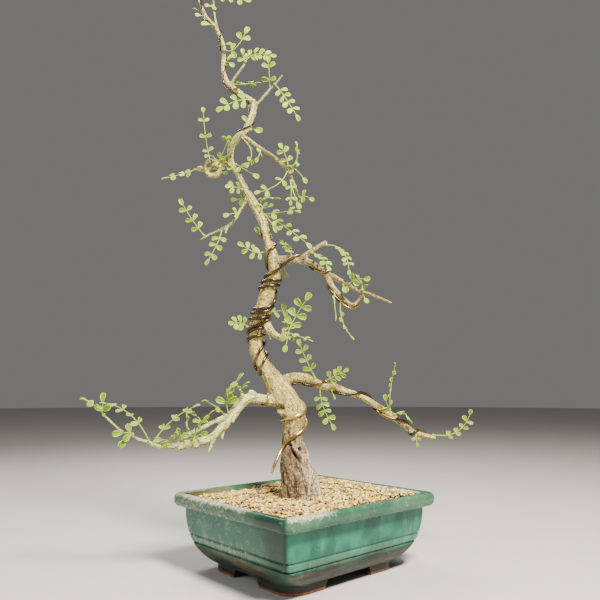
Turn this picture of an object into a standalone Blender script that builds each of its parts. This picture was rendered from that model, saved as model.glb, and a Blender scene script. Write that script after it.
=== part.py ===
"""Operculicarya bonsai, wired and leafing out, in a glazed rectangular pot.

All lists are in millimetres and become metres through MM. The pot's long side lies along X. The tree
was trained to be seen across one corner of the pot, so its points are given in that front view, as
(across, up, toward): to the viewer's right, up from the rim's top, and toward the viewer, all from the
middle of the pot.
"""

from math import cos, pi, radians, sin

import bmesh
import bpy
from mathutils import Matrix, Vector, noise
from mathutils.bvhtree import BVHTree

MM = 0.001
GAP = 0.35  # between two pieces that touch
FRONT_TURN = radians(41.8)  # from the pot's long side to the tree's front

# The pot
RIM_LENGTH = 180.0
RIM_WIDTH = 160.0
POT_HEIGHT = 64.0
CORNER_STEPS = 4
# (inset from the rim's outline, depth below the rim's top, corner radius): up the outside, over the lip,
# down the inside
POT_OUTSIDE = [
    (27.5, 57.5, 19.0),
    (22.6, 55.6, 16.8),
    (18.0, 51.0, 13.5),
    (14.9, 46.0, 10.5),
    (13.2, 42.0, 8.3),
    (14.8, 41.0, 7.8),
    (12.6, 40.0, 7.3),
    (11.4, 35.2, 6.3),
    (12.9, 34.2, 6.0),
    (10.7, 33.2, 5.6),
    (9.0, 22.5, 5.0),
    (8.4, 14.3, 5.0),
    (8.2, 12.1, 5.5),
    (3.4, 11.2, 7.0),
    (0.9, 9.3, 8.0),
    (0.0, 5.6, 8.0),
    (0.5, 1.8, 8.0),
    (2.6, 0.0, 7.5),
    (6.8, 0.3, 7.0),
]
POT_INSIDE = [
    (9.4, 2.4, 8.0),
    (12.2, 9.0, 8.0),
    (13.6, 20.0, 8.0),
    (17.0, 36.0, 10.0),
    (21.0, 46.0, 12.0),
    (28.0, 50.5, 14.0),
]
FOOT_REACH = 37.0  # along each side, from the foot's corner
FOOT_WALL = 12.0
FOOT_INSET = 25.5
FOOT_RADIUS = 20.0
FOOT_SPREAD = 5.0  # how much further each end reaches where it meets the pot
FOOT_FILLET = 4.0  # across its inner corner
FOOT_SUNK = 6.0
FOOT_HEIGHT = 6.5
DRAIN_RADIUS = 8.0
DRAIN_X = 34.0
DRAIN_Y = 14.0
DRAIN_SIDES = 12
SCREEN_SIDE = 27.0
SCREEN_THICK = 1.0
SCREEN_HOLE = 8.0
SCREEN_HOLE_CENTRE = 6.0

# The grit
SOIL_GAP = 0.6
SOIL_SIDE_POINTS = 5
SOIL_RINGS = 11
SOIL_EDGE_DROP = 6.5
SOIL_CROWN = -4.5  # its height over the rim at the trunk
SOIL_BOTTOM = 48.4
GRAIN_RELIEF = 1.1
GRAIN_PITCH = 2.8
GRAIN_SHIFT = Vector((50, 0, 0))  # sets the sideways relief apart from the upright one

# The wood
BARK_DEPTH = 0.16  # as a share of the limb's radius
BARK_PITCH = 10.5
BARK_STRETCH = 0.4  # upright, so that the furrows run along the trunk
TRUNK_SIDES = 12
THICK_SIDES = 8
THIN_SIDES = 6
ROOT_POINTS = 3  # how many of the trunk's points stand in the grit
SHARP_ANGLE = radians(40)

# The woody limbs: (across, up, toward, radius)
TRUNK = [
    (-4, -34, 2, 9), (-4, -22, 2, 16), (-4, -6, 2, 19.5), (-4, 5, 2, 19), (-5, 13, 2, 18),
    (-7, 21, 2, 16.5), (-8, 28, 2, 14.8), (-9, 36, 2, 12.8), (-11, 44, 2, 10.6),
    (-11, 51, 1, 10.8), (-10, 59, 0, 11.2),
    (-10, 68, 0, 12), (-16, 80, 0, 12.6), (-24, 93, -2, 11.5), (-32, 106, -4, 8.4), (-40, 117, -6, 7.6),
    (-45, 129, -7, 7.5), (-46, 140, -7, 7.4), (-45, 151, -5, 8.2), (-41, 163, -2, 8.3), (-37, 175, 1, 7.9),
    (-33, 187, 4, 7.7), (-28, 200, 6, 6.9), (-29, 213, 7, 6.3), (-33, 226, 7, 5), (-36, 239, 5, 4.8),
    (-40, 253, 2, 4.8), (-47, 267, -1, 4.7), (-53, 279, -4, 4.2), (-60, 291, -6, 3.5), (-66, 304, -6, 3.1),
    (-72, 314, -4, 3.1), (-73, 323, -1, 3.6), (-71, 330, 3, 4), (-65, 336, 6, 3.9), (-57, 343, 9, 3.6),
    (-53, 352, 10, 3.3), (-50, 363, 9, 3.4), (-50, 372, 8, 3.2), (-58, 379, 6, 2.9), (-67, 387, 3, 3.1),
    (-76, 396, 0, 3.1), (-81, 407, -2, 2.8), (-82, 420, -3, 2.6), (-82, 433, -2, 2.5), (-84, 444, 0, 2.4),
    (-87, 451, 2, 2.3), (-93, 460, 3, 2), (-100, 469, 4, 1.7), (-105, 480, 4, 1.6), (-109, 492, 3, 1.4),
    (-111, 503, 2, 1),
]
LOW_LEFT = [
    (-17, 79, 0, 6), (-30, 81, 3, 5), (-39, 83, 8, 4.6), (-48, 84, 14, 4.8), (-55, 81, 19, 5.2),
    (-61, 73, 23, 4.6), (-65, 67, 26, 4.5), (-73, 58, 30, 3.8), (-79, 51, 33, 3.8), (-87, 48, 36, 3.9),
    (-97, 46, 38, 4), (-107, 44, 39, 3.3), (-116, 44, 40, 2.6), (-124, 44, 42, 1.8),
    (-132, 48, 44, 1.4), (-139, 50, 46, 1.3), (-144, 53, 48, 1.1), (-154, 58, 50, 1.1),
    (-163, 66, 51, 1.1), (-167, 70, 52, 0.9),
]
LOW_RIGHT = [
    (-22, 97, -2, 6), (-16, 101, -4, 5.2), (-8, 103, -7, 4.8), (2, 102, -10, 4.6), (10, 99, -13, 4.3),
    (19, 95, -16, 4.1), (29, 94, -18, 3.9), (39, 90, -20, 3.7), (50, 87, -22, 3.4), (61, 82, -24, 3.2),
    (70, 76, -26, 3.4), (80, 70, -28, 3.5), (90, 63, -30, 3.2), (99, 56, -32, 3), (106, 51, -33, 2.9),
    (115, 48, -35, 2.7), (123, 46, -36, 2.4), (128, 45, -36, 2),
]
HIGH_RIGHT = [
    (-28, 211, 7, 6), (-20, 212, 10, 4.8), (-12, 212, 13, 4.2), (-4, 210, 16, 3.6), (3, 209, 18, 3.2),
    (11, 204, 20, 3), (19, 198, 22, 2.9), (27, 193, 24, 2.8), (35, 188, 26, 2.6), (43, 183, 27, 2.2),
    (51, 179, 28, 1.9), (60, 176, 29, 1.7), (69, 172, 30, 1.5), (78, 168, 31, 1),
]
HIGH_FORK = [
    (18, 197, 22, 2.8), (25, 185, 24, 2.7), (30, 178, 26, 2.6), (36, 171, 27, 2.6), (41, 167, 28, 2.4),
    (45, 167, 29, 1.8), (49, 171, 29, 1.6), (52, 175, 29, 1.4),
]
DIAGONAL = [
    (-63, 337, 7, 2.6), (-56, 334, 9, 2), (-47, 326, 12, 1.9), (-37, 318, 15, 1.9), (-28, 310, 18, 2.1),
    (-20, 302, 20, 2.2), (-15, 297, 22, 2), (-12, 288, 23, 1.5), (-8, 278, 24, 1.4), (-5, 269, 25, 1.2),
    (-3, 262, 26, 0.9),
]
THICK_LIMBS = [LOW_LEFT, LOW_RIGHT, HIGH_RIGHT]
THIN_LIMBS = [
    HIGH_FORK,
    DIAGONAL,
    # on the lower left branch: its fork, hanging twig, stub and spur
    [(-66, 69, 26, 3), (-78, 64, 30, 2.2), (-86, 60, 33, 2), (-94, 56, 36, 1.9), (-101, 53, 39, 1.8),
     (-108, 48, 40, 1.6)],
    [(-68, 65, 27, 2), (-70, 57, 28, 1.4), (-72, 49, 29, 1.2)],
    [(-77, 51, 33, 2), (-80, 43, 35, 1.7), (-82, 38, 36, 1.5)],
    [(-54, 82, 20, 2.5), (-56, 88, 20, 1.6), (-58, 92, 20, 1)],
    # in the middle of the trunk: a wired side branch with its knob, and a spike
    [(-40, 158, -3, 4.5), (-34, 152, 1, 3.6), (-31, 146, 5, 3.2), (-26, 141, 9, 3.2), (-21, 139, 12, 3.2),
     (-17, 140, 14, 3.4), (-14, 141, 15, 2.2)],
    [(-18, 139, 14, 3), (-19, 144, 15, 2.3), (-19, 147, 15, 1.8)],
    [(-38, 154, 1, 2.6), (-33, 143, 5, 1.4), (-31, 137, 7, 0.8)],
    # on the upper right branch: its cut stub
    [(-3, 211, 16, 3.2), (5, 218, 18, 2.7), (12, 222, 19, 2.6), (17, 225, 20, 2.6), (21, 227, 20, 2.3)],
    # on the upper trunk: left twig and its stub, knotted spur, right twig, up twig, green top shoot
    [(-55, 279, -3, 2.6), (-60, 269, -3, 2), (-64, 262, -2, 1.9), (-68, 254, -1, 1.8), (-74, 248, 0, 1.8),
     (-81, 244, 1, 1.5), (-91, 239, 2, 1.4), (-95, 237, 2, 1.3), (-100, 233, 3, 1.1)],
    [(-74, 248, 0, 1.4), (-75, 243, 2, 1.3), (-76, 240, 3, 1.2)],
    [(-72, 319, -3, 2.4), (-80, 316, -8, 2.6), (-88, 312, -11, 2.7), (-96, 311, -14, 2.9),
     (-104, 312, -17, 2), (-110, 314, -20, 1.5)],
    [(-50, 369, 8, 2.4), (-44, 372, 9, 1.9), (-38, 379, 11, 1.6), (-32, 385, 13, 1.4), (-26, 391, 15, 1.1),
     (-21, 397, 16, 1)],
    [(-74, 394, 0, 2.4), (-71, 400, 1, 1.7), (-66, 407, 3, 1.5), (-61, 413, 5, 1.3), (-59, 417, 5, 1)],
    [(-88, 453, 2, 1.8), (-91, 467, 1, 1.3), (-93, 479, -1, 1.2), (-94, 491, -2, 1.1), (-96, 504, -4, 0.9),
     (-97, 514, -5, 0.8)],
]

# Training wires: free end points, then (limb, [(place along the limb's points, degrees round it)]).
# On every limb 0 degrees faces the viewer.
WIRE_RADIUS = 1.15
FINE_WIRE_RADIUS = 0.75
WIRE_STEP = radians(36)
WIRE_SIDES = 6
WIRE_CLEARANCE = 0.42
LEAST_LIFT = 0.05
WIRES = {
    "wire_low": (WIRE_RADIUS, [(-29, 19, 20), (-26, 27, 19)], [
        (TRUNK, [(7.8, -50), (8.5, 0), (9.5, 50), (10.4, 90), (10.7, 180), (10.9, 270), (10.85, 360),
                 (11.05, 425), (11.4, 460), (11.9, 485), (12.4, 540)]),
        (LOW_LEFT, [(1.3, 160), (1.45, 90), (1.6, 0), (1.75, -90), (2.1, -150)]),
    ]),
    "wire_trunk": (WIRE_RADIUS, [], [
        (TRUNK, [(14.2, -70), (14.65, -30), (14.8, 0), (15.1, 40), (15.45, 90), (16.2, 180), (16.85, 270),
                 (17.2, 360), (17.3, 450), (17.4, 540), (17.55, 630), (18.15, 720), (18.8, 810), (18.8, 900),
                 (18.8, 990), (19.1, 1080), (19.75, 1170), (20.25, 1260), (20.6, 1350), (21.15, 1440),
                 (21.35, 1530), (21.45, 1620), (21.6, 1710), (21.85, 1755), (22.1, 1800), (22.25, 1840)]),
        (HIGH_RIGHT, [(1.4, 55), (2.1, 10), (2.6, -50), (3.2, -95), (4.05, -180), (4.95, -270), (5.4, -290),
                      (5.9, -320), (6.3, -365), (6.4, -440), (6.5, -520)]),
        (HIGH_FORK, [(0.9, -590), (1.4, -625), (2, -630), (3, -630), (4, -620), (5, -615), (6, -600),
                     (6.6, -590)]),
    ]),
    "wire_trunk_second": (WIRE_RADIUS, [], [
        (TRUNK, [(14.7, -90), (15.2, -45), (15.5, 0), (15.9, 30), (16.6, 90), (17, 180), (17.25, 270),
                 (17.85, 360), (18.4, 450), (18.35, 540), (18.3, 630), (18.7, 720), (19.1, 810), (19.1, 900),
                 (19.15, 990), (19.4, 1080), (20.05, 1170), (20.65, 1190), (21.1, 1215), (21.1, 1260),
                 (21.1, 1350), (21.6, 1440), (21.6, 1530), (22, 1620), (22.4, 1700), (23.35, 1730),
                 (23.65, 1800), (24, 1890), (24.65, 1980), (24.9, 2070), (25.2, 2110)]),
    ]),
    "wire_low_right": (WIRE_RADIUS, [], [
        (LOW_RIGHT, [(1.5, 95), (2.45, 90), (3.25, 85), (3.9, 60), (4.25, 20), (4.5, -20), (4.9, -80),
                     (5.5, -180), (5.75, -260), (6.25, -285), (6.9, -305), (7.4, -335), (7.85, -370),
                     (8.3, -420), (8.8, -450), (9.3, -490), (9.75, -540), (10.05, -625), (10.55, -645),
                     (11.25, -670), (11.8, -710), (12.35, -755), (12.9, -805), (13.6, -900), (13.8, -980),
                     (13.9, -1040), (14, -1085), (14.2, -1140), (14.75, -1170), (15.4, -1215),
                     (15.8, -1290)]),
    ]),
    "wire_apex": (FINE_WIRE_RADIUS, [], [
        (TRUNK, [(34.45, -80), (35.1, 0), (35.9, 90), (36.4, 180), (36.7, 270), (37.95, 285), (39.45, 275),
                 (40.3, 270), (41, 275), (41.5, 290), (41.9, 360), (42.7, 420), (43.35, 470), (43.9, 560),
                 (44.2, 630), (44.9, 650), (45.45, 720), (45.9, 790), (46.7, 880), (47.3, 960), (48, 1000),
                 (48.7, 1060), (49.45, 1130), (50.2, 1170)]),
    ]),
}

# Leaves: a spray's name, its bud, and each leaf as (a point it passes, its tip, the way its blade faces,
# pairs of leaflets, leaflet length)
SPRAYS = [
    ("far_left_tip", (-167, 70, 52), [
        ((-174, 78, 56), (-186, 84, 62), "up", 2, 8),
        ((-168, 79, 55), (-168, 89, 56), "front", 1, 8),
    ]),
    ("far_left_arch", (-131, 49, 45), [((-150, 72, 44), (-174, 80, 43), "up", 4, 6.5)]),
    ("far_left_low", (-144, 54, 49), [
        ((-149, 56, 54), (-159, 54, 58), "front", 1, 8),
        ((-148, 50, 52), (-151, 44, 52), "front", 0, 9),
    ]),
    ("low_left_bow", (-127, 48, 44), [((-113, 66, 36), (-91, 79, 30), "up", 3, 7)]),
    ("low_left_stalk", (-100, 55, 41), [((-99, 64, 46), (-101, 78, 50), "left", 2, 7)]),
    ("low_left_mid", (-90, 60, 36), [
        ((-84, 68, 43), (-75, 73, 49), "up", 1, 8),
        ((-92, 67, 30), (-102, 71, 24), "up", 1, 7),
    ]),
    ("low_left_cluster", (-92, 52, 40), [
        ((-95, 53, 48), (-101, 54, 56), "front", 1, 7),
        ((-88, 54, 44), (-82, 53, 50), "front", 0, 8),
    ]),
    ("fork_arch", (-70, 70, 29), [((-79, 78, 33), (-87, 82, 38), "up", 1, 7)]),
    ("upright_large", (-67, 73, 29), [((-66, 89, 31), (-51, 105, 34), "up", 4, 9.5)]),
    ("right_sprig", (9, 102, -10), [
        ((2, 119, -6), (-6, 139, -2), "front", 3, 7),
        ((8, 108, -16), (2, 113, -24), "front", 0, 8),
    ]),
    ("right_up", (21, 100, -13), [((30, 105, -9), (43, 111, -5), "front", 3, 6.5)]),
    ("right_hanging", (15, 92, -13), [((18, 75, -9), (29, 54, -5), "front", 4, 6.5)]),
    ("right_upright", (83, 73, -26), [
        ((84, 94, -24), (89, 118, -20), "right", 5, 5.5),
        ((79, 79, -20), (78, 87, -16), "front", 1, 7.5),
    ]),
    ("right_run", (88, 68, -27), [((96, 69, -23), (104, 57, -26), "up", 2, 6.5)]),
    ("right_tip", (126, 48, -36), [((150, 52, -33), (163, 74, -30), "steep", 4, 6)]),
    ("mid_left", (-54, 150.5, 0), [((-61, 153, 7), (-71, 150, 14), "front", 3, 7)]),
    ("mid_back", (-33, 164, -7), [((-24, 167, -13), (-11, 167, -17), "front", 2, 7)]),
    ("mid_large", (-14, 142, 17), [
        ((-7, 159, 19), (7, 180, 24), "front", 3, 9),
        ((-4, 139, 20), (8, 134, 24), "up", 2, 6),
        ((-16, 134, 20), (-18, 126, 24), "front", 1, 6.5),
    ]),
    ("high_bow", (20, 225, 21), [((36, 216, 25), (40, 191, 36), "up", 5, 5.5)]),
    ("high_inner", (7, 217, 20), [((16, 210, 26), (23, 196, 34), "up", 3, 6.5)]),
    ("high_tuft", (41, 186, 29), [((48, 189, 36), (59, 186, 43), "front", 1, 7)]),
    ("high_spike", (52, 180, 30), [
        ((51, 188, 27), (46, 196, 24), "right", 2, 5.5),
        ((54, 181, 34), (52, 185, 38), "up", 0, 6),
    ]),
    ("fork_hanging", (33, 171, 28), [((34, 151, 31), (44, 135, 34), "right", 4, 5.5)]),
    ("back_arch", (-12, 215, 12), [((-16, 225, 7), (-24, 235, 2), "up", 3, 5.5)]),
    ("long_arch", (-37, 259, 5), [
        ((-17, 242, 16), (7, 219, 32), "steep", 4, 7.5),
        ((-32, 249, 12), (-24, 238, 17), "front", 0, 9),
        ((-22, 258, 13), (-2, 259, 18), "steep", 2, 7.5),
    ]),
    ("trunk_left", (-37, 222, 5), [((-48, 220, 12), (-63, 229, 18), "front", 3, 7)]),
    ("shoot_right", (-44, 268, 1), [
        ((-37, 274, 7), (-19, 271, 12), "up", 2, 6),
        ((-37, 264, 8), (-31, 268, 12), "front", 1, 6),
    ]),
    ("left_cluster", (-60, 287, -4), [((-67, 287, 2), (-78, 286, 8), "front", 2, 6.5)]),
    ("twig_end", (-96, 238, 3), [((-107, 252, 7), (-120, 273, 11), "front", 3, 7)]),
    ("twig_hang", (-80, 243, 2), [((-84, 227, 6), (-94, 206, 10), "front", 3, 7)]),
    ("diagonal_start", (-60, 335, 9), [((-51, 318, 13), (-56, 302, 17), "right", 2, 6)]),
    ("diagonal_crown", (-15, 300, 23), [
        ((-18, 310, 26), (-24, 321, 29), "front", 2, 6.5),
        ((-7, 304, 28), (-9, 325, 32), "right", 2, 6),
        ((-6, 292, 30), (2, 279, 34), "front", 1, 7),
    ]),
    ("diagonal_left", (-17, 294, 22), [((-27, 280, 25), (-48, 271, 29), "front", 2, 7)]),
    ("diagonal_hanging", (-12, 285, 24), [
        ((-12, 272, 29), (-13, 258, 33), "front", 2, 5.5),
        ((-9, 269, 30), (-4, 255, 35), "front", 0, 9),
    ]),
    ("diagonal_end", (-3, 268, 28), [((2, 267, 32), (9, 261, 35), "front", 1, 6)]),
    ("knot_up", (-93, 314, -11), [((-99, 342, -8), (-102, 374, -4), "front", 3, 6)]),
    ("knot_end", (-113, 314, -20), [((-124, 309, -20), (-149, 302, -18), "steep", 3, 8.5)]),
    ("trunk_right", (-67, 313, -3), [((-57, 304, 3), (-44, 295, 8), "front", 1, 7.5)]),
    ("bend_pair", (-49, 342, 9), [
        ((-47, 341, 14), (-41, 337, 17), "front", 0, 9.5),
        ((-52, 343, 19), (-61, 350, 23), "front", 0, 8),
    ]),
    ("upper_left", (-51, 373, 13), [((-67, 369, 16), (-86, 356, 19), "front", 3, 8.5)]),
    ("twig_up", (-35, 387, 16), [((-34, 396, 22), (-35, 412, 26), "front", 2, 7)]),
    ("twig_out", (-29, 388, 15), [((-18, 371, 19), (-4, 345, 23), "front", 4, 7)]),
    ("up_run", (-59, 417, 6), [
        ((-46, 423, 10), (-26, 416, 14), "front", 4, 7),
        ((-61, 422, 9), (-60, 430, 12), "front", 1, 7),
    ]),
    ("top_right", (-79, 433, 0), [((-67, 436, 4), (-55, 459, 8), "front", 2, 8.5)]),
    ("between", (-71, 393, 3), [((-58, 392, 8), (-41, 392, 12), "up", 2, 8)]),
    ("top_edge", (-94, 495, -2), [((-75, 491, 2), (-53, 483, 6), "front", 3, 7.5)]),
    ("leader_crown", (-111, 503, 2), [((-115, 513, 3), (-124, 524, 5), "front", 3, 7)]),
    ("shoot_crown", (-97, 514, -5), [((-95, 528, -4), (-89, 542, -2), "front", 3, 7)]),
]
FACINGS = {  # as (across, up, toward)
    "front": (0, 0.15, 1),
    "up": (0, 1, 0.25),
    "left": (-1, 0.2, 0.3),
    "right": (1, 0.2, 0.3),
    "steep": (0, 0.7, 0.7),
}
LEAF_THICK = 0.75
LEAF_CLEARANCE = 1.1  # from the bark and the wires
SEAT = 0.85  # from the bark to where a single leaf's rib starts
RIB_WIDTH = 1.1
BUD_RADIUS = 1.4
PETIOLE_SHARE = 0.3
LAST_PAIR_SHARE = 0.86
LONGEST_STALK_SHARE = 0.04  # half of what a leaflet takes of its rib's length, at most
LEAFLET_ANGLE = radians(62)
LEAFLET_DROOP = 0.1
# Outline of a leaflet past its stalk: (share of its length, distance to the side as a share of its length)
LEAFLET_RIM = [(0.62, 0.42), (1.0, 0.06), (0.66, -0.42)]


def in_front_view(across, up, toward):
    """A point of the tree's front view, in the pot's frame and in metres, from the rim's middle."""
    return Vector((
        across * cos(FRONT_TURN) - toward * sin(FRONT_TURN),
        -across * sin(FRONT_TURN) - toward * cos(FRONT_TURN),
        up + POT_HEIGHT,
    )) * MM


def viewer_direction(across, up, toward):
    return (in_front_view(across, up, toward) - in_front_view(0, 0, 0)).normalized()


# Objects and materials

def material(name, colour, roughness, metallic=0.0):
    made = bpy.data.materials.new(name)
    made.use_nodes = True
    shader = made.node_tree.nodes["Principled BSDF"]
    shader.inputs["Base Color"].default_value = (*colour, 1)
    shader.inputs["Roughness"].default_value = roughness
    shader.inputs["Metallic"].default_value = metallic
    return made


def add_object(name, mesh, collection, finish=None, parent=None):
    made = bpy.data.objects.new(name, mesh)
    collection.objects.link(made)
    made.parent = parent
    if finish:
        mesh.materials.clear()
        mesh.materials.append(finish)
        mesh.shade_smooth()
        mesh.set_sharp_from_angle(angle=SHARP_ANGLE)
    return made


def mesh_from(bm, name):
    bmesh.ops.recalc_face_normals(bm, faces=bm.faces)
    mesh = bpy.data.meshes.new(name)
    bm.to_mesh(mesh)
    bm.free()
    return mesh


def evaluated_mesh(source):
    """A copy of an object's mesh with its modifiers or its curve's bevel applied, loose caps welded."""
    graph = bpy.context.evaluated_depsgraph_get()
    mesh = bpy.data.meshes.new_from_object(source.evaluated_get(graph))
    bm = bmesh.new()
    bm.from_mesh(mesh)
    bmesh.ops.remove_doubles(bm, verts=bm.verts, dist=0.01 * MM)
    bm.to_mesh(mesh)
    bm.free()
    return mesh


def move_to(collection, piece):
    for holder in piece.users_collection:
        holder.objects.unlink(piece)
    collection.objects.link(piece)


def united(base, pieces, guides, solver="EXACT"):
    """The mesh of the base joined with all pieces in one Boolean union; their objects are removed."""
    together = bpy.data.collections.new("pieces of " + base.name)
    guides.children.link(together)
    for piece in pieces:
        move_to(together, piece)
    union = base.modifiers.new("union", "BOOLEAN")
    union.operation = "UNION"
    union.solver = solver
    union.operand_type = "COLLECTION"
    union.collection = together
    mesh = evaluated_mesh(base)
    for piece in [*pieces, base]:
        bpy.data.objects.remove(piece)
    bpy.data.collections.remove(together)
    return mesh


# The pot

def between(start, end, count):
    return [start.lerp(end, (step + 1) / (count + 1)) for step in range(count)]


def rounded_ring(inset, depth, radius, side_points=0):
    """Points round the pot's outline at one depth below the rim, inset from its outer edge."""
    half_x = RIM_LENGTH / 2 - inset - radius
    half_y = RIM_WIDTH / 2 - inset - radius
    corners = [(half_x, half_y), (-half_x, half_y), (-half_x, -half_y), (half_x, -half_y)]
    points = []
    for quarter, (x, y) in enumerate(corners):
        arc = []
        for step in range(CORNER_STEPS + 1):
            angle = pi / 2 * (quarter + step / CORNER_STEPS)
            arc.append(Vector((x + radius * cos(angle), y + radius * sin(angle), POT_HEIGHT - depth)))
        if points:
            points += between(points[-1], arc[0], side_points)
        points += arc
    return points + between(points[-1], points[0], side_points)


def above(corner, fresh):
    """The fresh point that was extruded from this one."""
    return next(edge.other_vert(corner) for edge in corner.link_edges if edge.other_vert(corner) in fresh)


def loft(rings):
    """A closed solid through rings of equal counts, with a flat face on the first and the last."""
    bm = bmesh.new()
    ring = [bm.verts.new(point * MM) for point in rings[0]]
    bm.faces.new(ring)
    for points in rings[1:]:
        edges = [bm.edges.get((ring[k - 1], ring[k])) for k in range(len(ring))]
        made = bmesh.ops.extrude_edge_only(bm, edges=edges)["geom"]
        fresh = {item for item in made if isinstance(item, bmesh.types.BMVert)}
        ring = [above(corner, fresh) for corner in ring]
        for corner, point in zip(ring, points):
            corner.co = point * MM
    bm.faces.new(ring)
    return bm


def foot_solid(sign_x, sign_y):
    """One corner foot: a low wall that follows the corner, its ends spreading up into the pot."""
    bm = bmesh.new()
    rings = []
    for depth, spread in ((POT_HEIGHT, 0), (POT_HEIGHT - FOOT_HEIGHT - FOOT_SUNK, FOOT_SPREAD)):
        corner_x = RIM_LENGTH / 2 - FOOT_INSET
        corner_y = RIM_WIDTH / 2 - FOOT_INSET
        reach = FOOT_REACH + spread
        outline = [(corner_x - reach, corner_y)]
        for step in range(CORNER_STEPS + 1):
            angle = pi / 2 * (1 - step / CORNER_STEPS)
            outline.append((
                corner_x - FOOT_RADIUS + FOOT_RADIUS * cos(angle),
                corner_y - FOOT_RADIUS + FOOT_RADIUS * sin(angle),
            ))
        outline += [
            (corner_x, corner_y - reach),
            (corner_x - FOOT_WALL, corner_y - reach),
            (corner_x - FOOT_WALL, corner_y - FOOT_WALL - FOOT_FILLET),
            (corner_x - FOOT_WALL - FOOT_FILLET, corner_y - FOOT_WALL),
            (corner_x - reach, corner_y - FOOT_WALL),
        ]
        rings.append([Vector((x * sign_x, y * sign_y, POT_HEIGHT - depth)) * MM for x, y in outline])
    bottom = bm.faces.new([bm.verts.new(point) for point in rings[0]])
    top = bmesh.ops.extrude_face_region(bm, geom=[bottom])["geom"]
    raised = [item for item in top if isinstance(item, bmesh.types.BMVert)]
    for corner in raised:
        nearest = min(range(len(rings[0])), key=lambda k: (rings[0][k] - corner.co).length)
        corner.co = rings[1][nearest]
    return mesh_from(bm, "foot")


def cut(target, cutters, guides):
    for cutter in cutters:
        move_to(guides, cutter)
        cutter.display_type = "WIRE"
        cutter.hide_render = True
        hole = target.modifiers.new("hole", "BOOLEAN")
        hole.operation = "DIFFERENCE"
        hole.object = cutter


def drain_cutter(side, floor):
    """A drain hole's cutter, as far above the floor as the floor is above the feet."""
    bpy.ops.mesh.primitive_cylinder_add(
        vertices=DRAIN_SIDES,
        radius=DRAIN_RADIUS * MM,
        depth=2 * floor * MM,
        location=Vector((side * DRAIN_X, side * DRAIN_Y, floor)) * MM,
    )
    return bpy.context.object


def build_pot(parts, guides, root):
    walls = [rounded_ring(*level) for level in POT_OUTSIDE + POT_INSIDE]
    body = add_object("pot body", mesh_from(loft(walls), "pot body"), guides)
    feet = []
    for sign_x in (-1, 1):
        for sign_y in (-1, 1):
            feet.append(add_object("foot", foot_solid(sign_x, sign_y), guides))
    glaze = material("teal_glaze", (0.13, 0.30, 0.24), 0.25)
    pot = add_object("pot", united(body, feet, guides), parts, glaze, root)
    floor = POT_HEIGHT - POT_INSIDE[-1][1]
    cut(pot, [drain_cutter(side, floor) for side in (-1, 1)], guides)


def build_drain_screens(parts, guides, root):
    """A plastic screen lies over each drain hole, under the grit."""
    plastic = material("screen_plastic", (0.03, 0.03, 0.03), 0.6)
    low = POT_HEIGHT - POT_INSIDE[-1][1] + GAP
    for name, side in (("drain_screen_left", -1), ("drain_screen_right", 1)):
        middle = Vector((side * DRAIN_X, side * DRAIN_Y, low + SCREEN_THICK / 2))
        bm = bmesh.new()
        bmesh.ops.create_cube(bm, size=1)
        bmesh.ops.scale(bm, vec=Vector((SCREEN_SIDE, SCREEN_SIDE, SCREEN_THICK)) * MM, verts=bm.verts)
        bmesh.ops.translate(bm, vec=middle * MM, verts=bm.verts)
        screen = add_object(name, mesh_from(bm, name), parts, plastic, root)
        holes = []
        for x in (-SCREEN_HOLE_CENTRE, SCREEN_HOLE_CENTRE):
            for y in (-SCREEN_HOLE_CENTRE, SCREEN_HOLE_CENTRE):
                place = middle + Vector((x, y, 0))
                bpy.ops.mesh.primitive_cube_add(size=SCREEN_HOLE * MM, location=place * MM)
                holes.append(bpy.context.object)
        cut(screen, holes, guides)


# The grit

def inside_ring(depth, side_points):
    """The grit's outline at a depth: the pot's inner wall there, read between its levels, less the gap."""
    for (inset_a, depth_a, radius_a), (inset_b, depth_b, radius_b) in zip(POT_INSIDE, POT_INSIDE[1:]):
        if depth_a <= depth <= depth_b:
            share = (depth - depth_a) / (depth_b - depth_a)
            inset = inset_a + (inset_b - inset_a) * share
            radius = radius_a + (radius_b - radius_a) * share
    return rounded_ring(inset + SOIL_GAP, depth, radius, side_points)


def circle_like(outline, middle, radius, height):
    """A circle with one point for each point of the outline, in the same direction from the middle."""
    points = []
    for point in outline:
        way = Vector((point.x - middle.x, point.y - middle.y, 0)).normalized()
        points.append(Vector((middle.x, middle.y, POT_HEIGHT + height)) + way * radius)
    return points


def build_soil(parts, root):
    """Grit fills the pot round a plain hole for the root; its top is grainy and swells toward the trunk."""
    edge = inside_ring(SOIL_EDGE_DROP, SOIL_SIDE_POINTS)
    foot = in_front_view(*TRUNK[ROOT_POINTS - 1][:3]) / MM
    rings = []
    for _, up, _, radius in TRUNK[:ROOT_POINTS]:
        rings.append(circle_like(edge, foot, radius + SOIL_GAP, up - GAP))
    mouth = circle_like(edge, foot, TRUNK[ROOT_POINTS - 1][3] + SOIL_GAP, SOIL_CROWN)
    for step in range(SOIL_RINGS):
        share = step / (SOIL_RINGS - 1)
        swell = (1 + cos(pi * share)) / 2
        ring = []
        for inner, outer in zip(mouth, edge):
            point = inner.lerp(outer, share)
            point.z = outer.z + (inner.z - outer.z) * swell
            if 0 < step < SOIL_RINGS - 1:
                point.z += GRAIN_RELIEF * noise.noise(point / GRAIN_PITCH)
                point.x += GRAIN_RELIEF * noise.noise(point / GRAIN_PITCH + GRAIN_SHIFT)
            ring.append(point)
        rings.append(ring)
    for _, depth, _ in POT_INSIDE[1:-1]:
        rings.append(inside_ring(depth, SOIL_SIDE_POINTS))
    rings.append(inside_ring(SOIL_BOTTOM, SOIL_SIDE_POINTS))
    grit = material("cream_grit", (0.62, 0.50, 0.34), 0.9)
    add_object("soil", mesh_from(loft(rings), "soil"), parts, grit, root)


# The wood

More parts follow.
